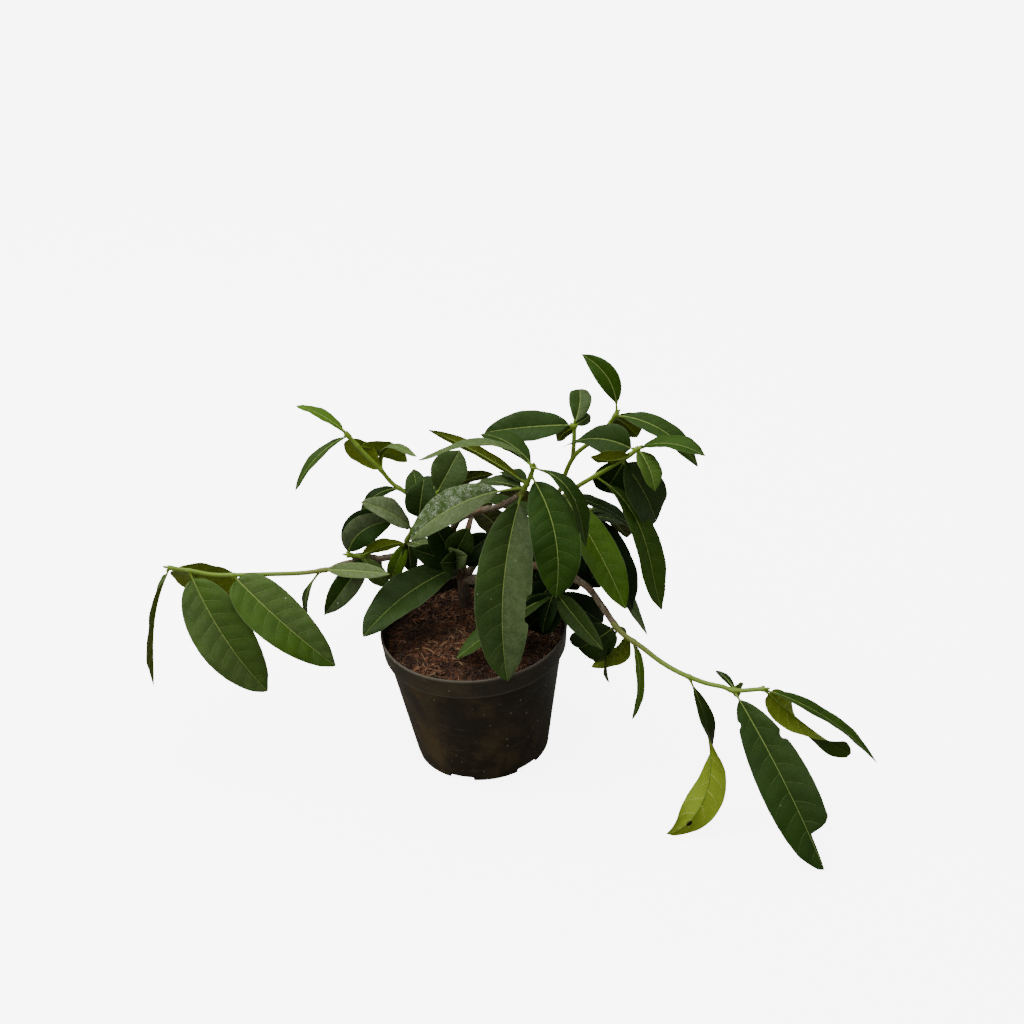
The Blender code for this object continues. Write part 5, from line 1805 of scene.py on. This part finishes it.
# %% [markdown]
# The leaf stalk is thicker where it joins the stem, and goes on under the blade as the rib, which
# tapers to the tip. One rod makes both. It starts on the midrib and sinks below the blade.

# %% Leaf stalk and rib
LEAST_STALK = 0.95
STALK_RINGS = 7
RIB_RINGS = 26
RIB_END = 0.97


def add_rib(pile, root, leaf):
    shares = np.concatenate([np.linspace(0, leaf.petiole, STALK_RINGS),
                             np.linspace(leaf.petiole, RIB_END, RIB_RINGS)[1:]])
    centre, _, _, up = midrib_frames(root, leaf, shares)
    stalk = np.clip(shares / leaf.petiole, 0, 1)
    beyond = np.clip((shares - leaf.petiole) / (1 - leaf.petiole), 0, 1)
    size = np.clip(0.55 + leaf.width / 0.08, LEAST_STALK, 1.0)
    swell = 1 + 0.45 * (1 - stalk) ** 2
    radii = size * (PETIOLE_RADIUS * swell * (1 - beyond) ** 0.85 * (1 - 0.25 * stalk) + LEAST_HALF)
    sink = stalk * (radii - BLADE_HALF_THICKNESS * 0.4)
    rod(pile, centre - up * sink[:, None], radii, sides=8, slot=STEM_SLOT, age=0.75)


print("rings of a stalk with its rib:", STALK_RINGS + RIB_RINGS - 1)

# %% [markdown]
# Under each leaf the green stem is a little thicker, and in the angle above each stalk sits a small
# pointed bud. The stem ends in a bud too. A stem starts inside the cut end of its branch, so no gap
# shows between bark and green.

# %% Stems and buds
BUD_LENGTH, BUD_RADIUS = 0.0036, 0.0010
END_BUD_LENGTH, END_BUD_RADIUS = 0.005, 0.0013
BUD_SHAPE = np.array([0.75, 0.95, 1.0, 0.9, 0.66, 0.34, 0.06])
STRAIGHT_START = 0.004
STEM_OVERLAP = 0.0015
STEM_STEP = 0.0014
NODE_SWELLING = 0.22
NODE_REACH = 0.0020


def add_bud(pile, root, direction, length=BUD_LENGTH, radius=BUD_RADIUS):
    path = root + np.outer(np.linspace(0, 1, len(BUD_SHAPE)) * length, unit(direction))
    rod(pile, path, radius * BUD_SHAPE, sides=8, slot=STEM_SLOT, age=0.6)


def branch_end(branch):
    """Where a branch's cut end is, and which way it points, from the same few points as the solid."""
    path = smooth_path(branch.points, 3)
    return path[-1], unit(path[-1] - path[-2])


def shoot_paths(shoot):
    end, direction = branch_end(BRANCHES[shoot.branch])
    start = end + direction * (GAP + STRAIGHT_START)
    paths = {name: smooth_path(points) for name, points in shoot.twigs.items()}
    main = smooth_path([start] + list(shoot.twigs["main"]))
    paths["main"] = np.vstack([end - direction * STEM_OVERLAP, main])
    return paths


def add_stem(pile, path, radii, nodes):
    length = lengths_along(path)[-1]
    shares = np.linspace(0, 1, max(12, int(length / STEM_STEP)))
    even = np.array([point_along(path, share)[0] for share in shares])
    size = np.interp(shares, [0, 1], radii)
    for node in nodes:
        size = size * (1 + NODE_SWELLING * np.exp(-((shares - node) * length / NODE_REACH) ** 2))
    rod(pile, even, size, sides=12, slot=STEM_SLOT, age=shares * 0.9, ridged=0.03)


stem_lengths = [lengths_along(shoot_paths(shoot)["main"])[-1] for shoot in SHOOTS.values()]
print("longest stem:", round(max(stem_lengths) * 1000), "mm")

# %% [markdown]
# The stem, leaves and buds of one shoot are one piece with two materials, as they are one growth on
# the plant. The shoot with the dead spot has a third. Each shoot stands in for its node of the packed
# model.

# %% The shoots
TWIG_ROOT_SHARE = 0.90
TWIG_TIP_RADIUS = 0.0019
SIDE_TWIG_RADIUS = 0.0020
SEEDS_A_SHOOT = 20
BUD_LEAN = 1.1


def make_shoot(name, shoot, number):
    pile = Pile("leaf_place", "leaf_look", "leaf_side", "stem_place", "stem_look")
    paths = shoot_paths(shoot)
    root_radius = BRANCHES[shoot.branch].radii[1] * TWIG_ROOT_SHARE
    for twig, path in paths.items():
        nodes = [leaf.at for leaf in shoot.leaves if leaf.twig == twig]
        first = root_radius if twig == "main" else SIDE_TWIG_RADIUS
        add_stem(pile, path, (first, TWIG_TIP_RADIUS), nodes)
        add_bud(pile, path[-1], path[-1] - path[-2], END_BUD_LENGTH, END_BUD_RADIUS)
    for index, leaf in enumerate(shoot.leaves):
        root, direction = point_along(paths[leaf.twig], leaf.at)
        seed = number * SEEDS_A_SHOOT + index
        add_leaf(pile, root, leaf, look_of(name, index), seed, SPOTS.get((name, index)))
        add_rib(pile, root, leaf)
        away = unit(np.array(leaf.tip) - root)
        add_bud(pile, root + away * STEM_OVERLAP, unit(away + direction * BUD_LEAN))
    materials = [LEAF, STEM] + [DEAD] * any(spotted == name for spotted, _ in SPOTS)
    piece = pile.make(name + "_leaves", materials)
    dress(piece, name)
    return piece


for number, (name, shoot) in enumerate(SHOOTS.items()):
    piece = make_shoot(name, shoot, number)
    print(piece.name, len(piece.data.polygons), "faces")

# %% [markdown] The visual model has to stay inside the packed solids' box, so both boxes are
# written down and compared.

# %% Sizes and finish
visual_box = [list(corner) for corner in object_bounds()]
for label, first, second in zip(("lowest", "highest"), cad_box, visual_box):
    print(label, [round((b - a) * 1000, 2) for a, b in zip(first, second)], "mm from the solids' box")
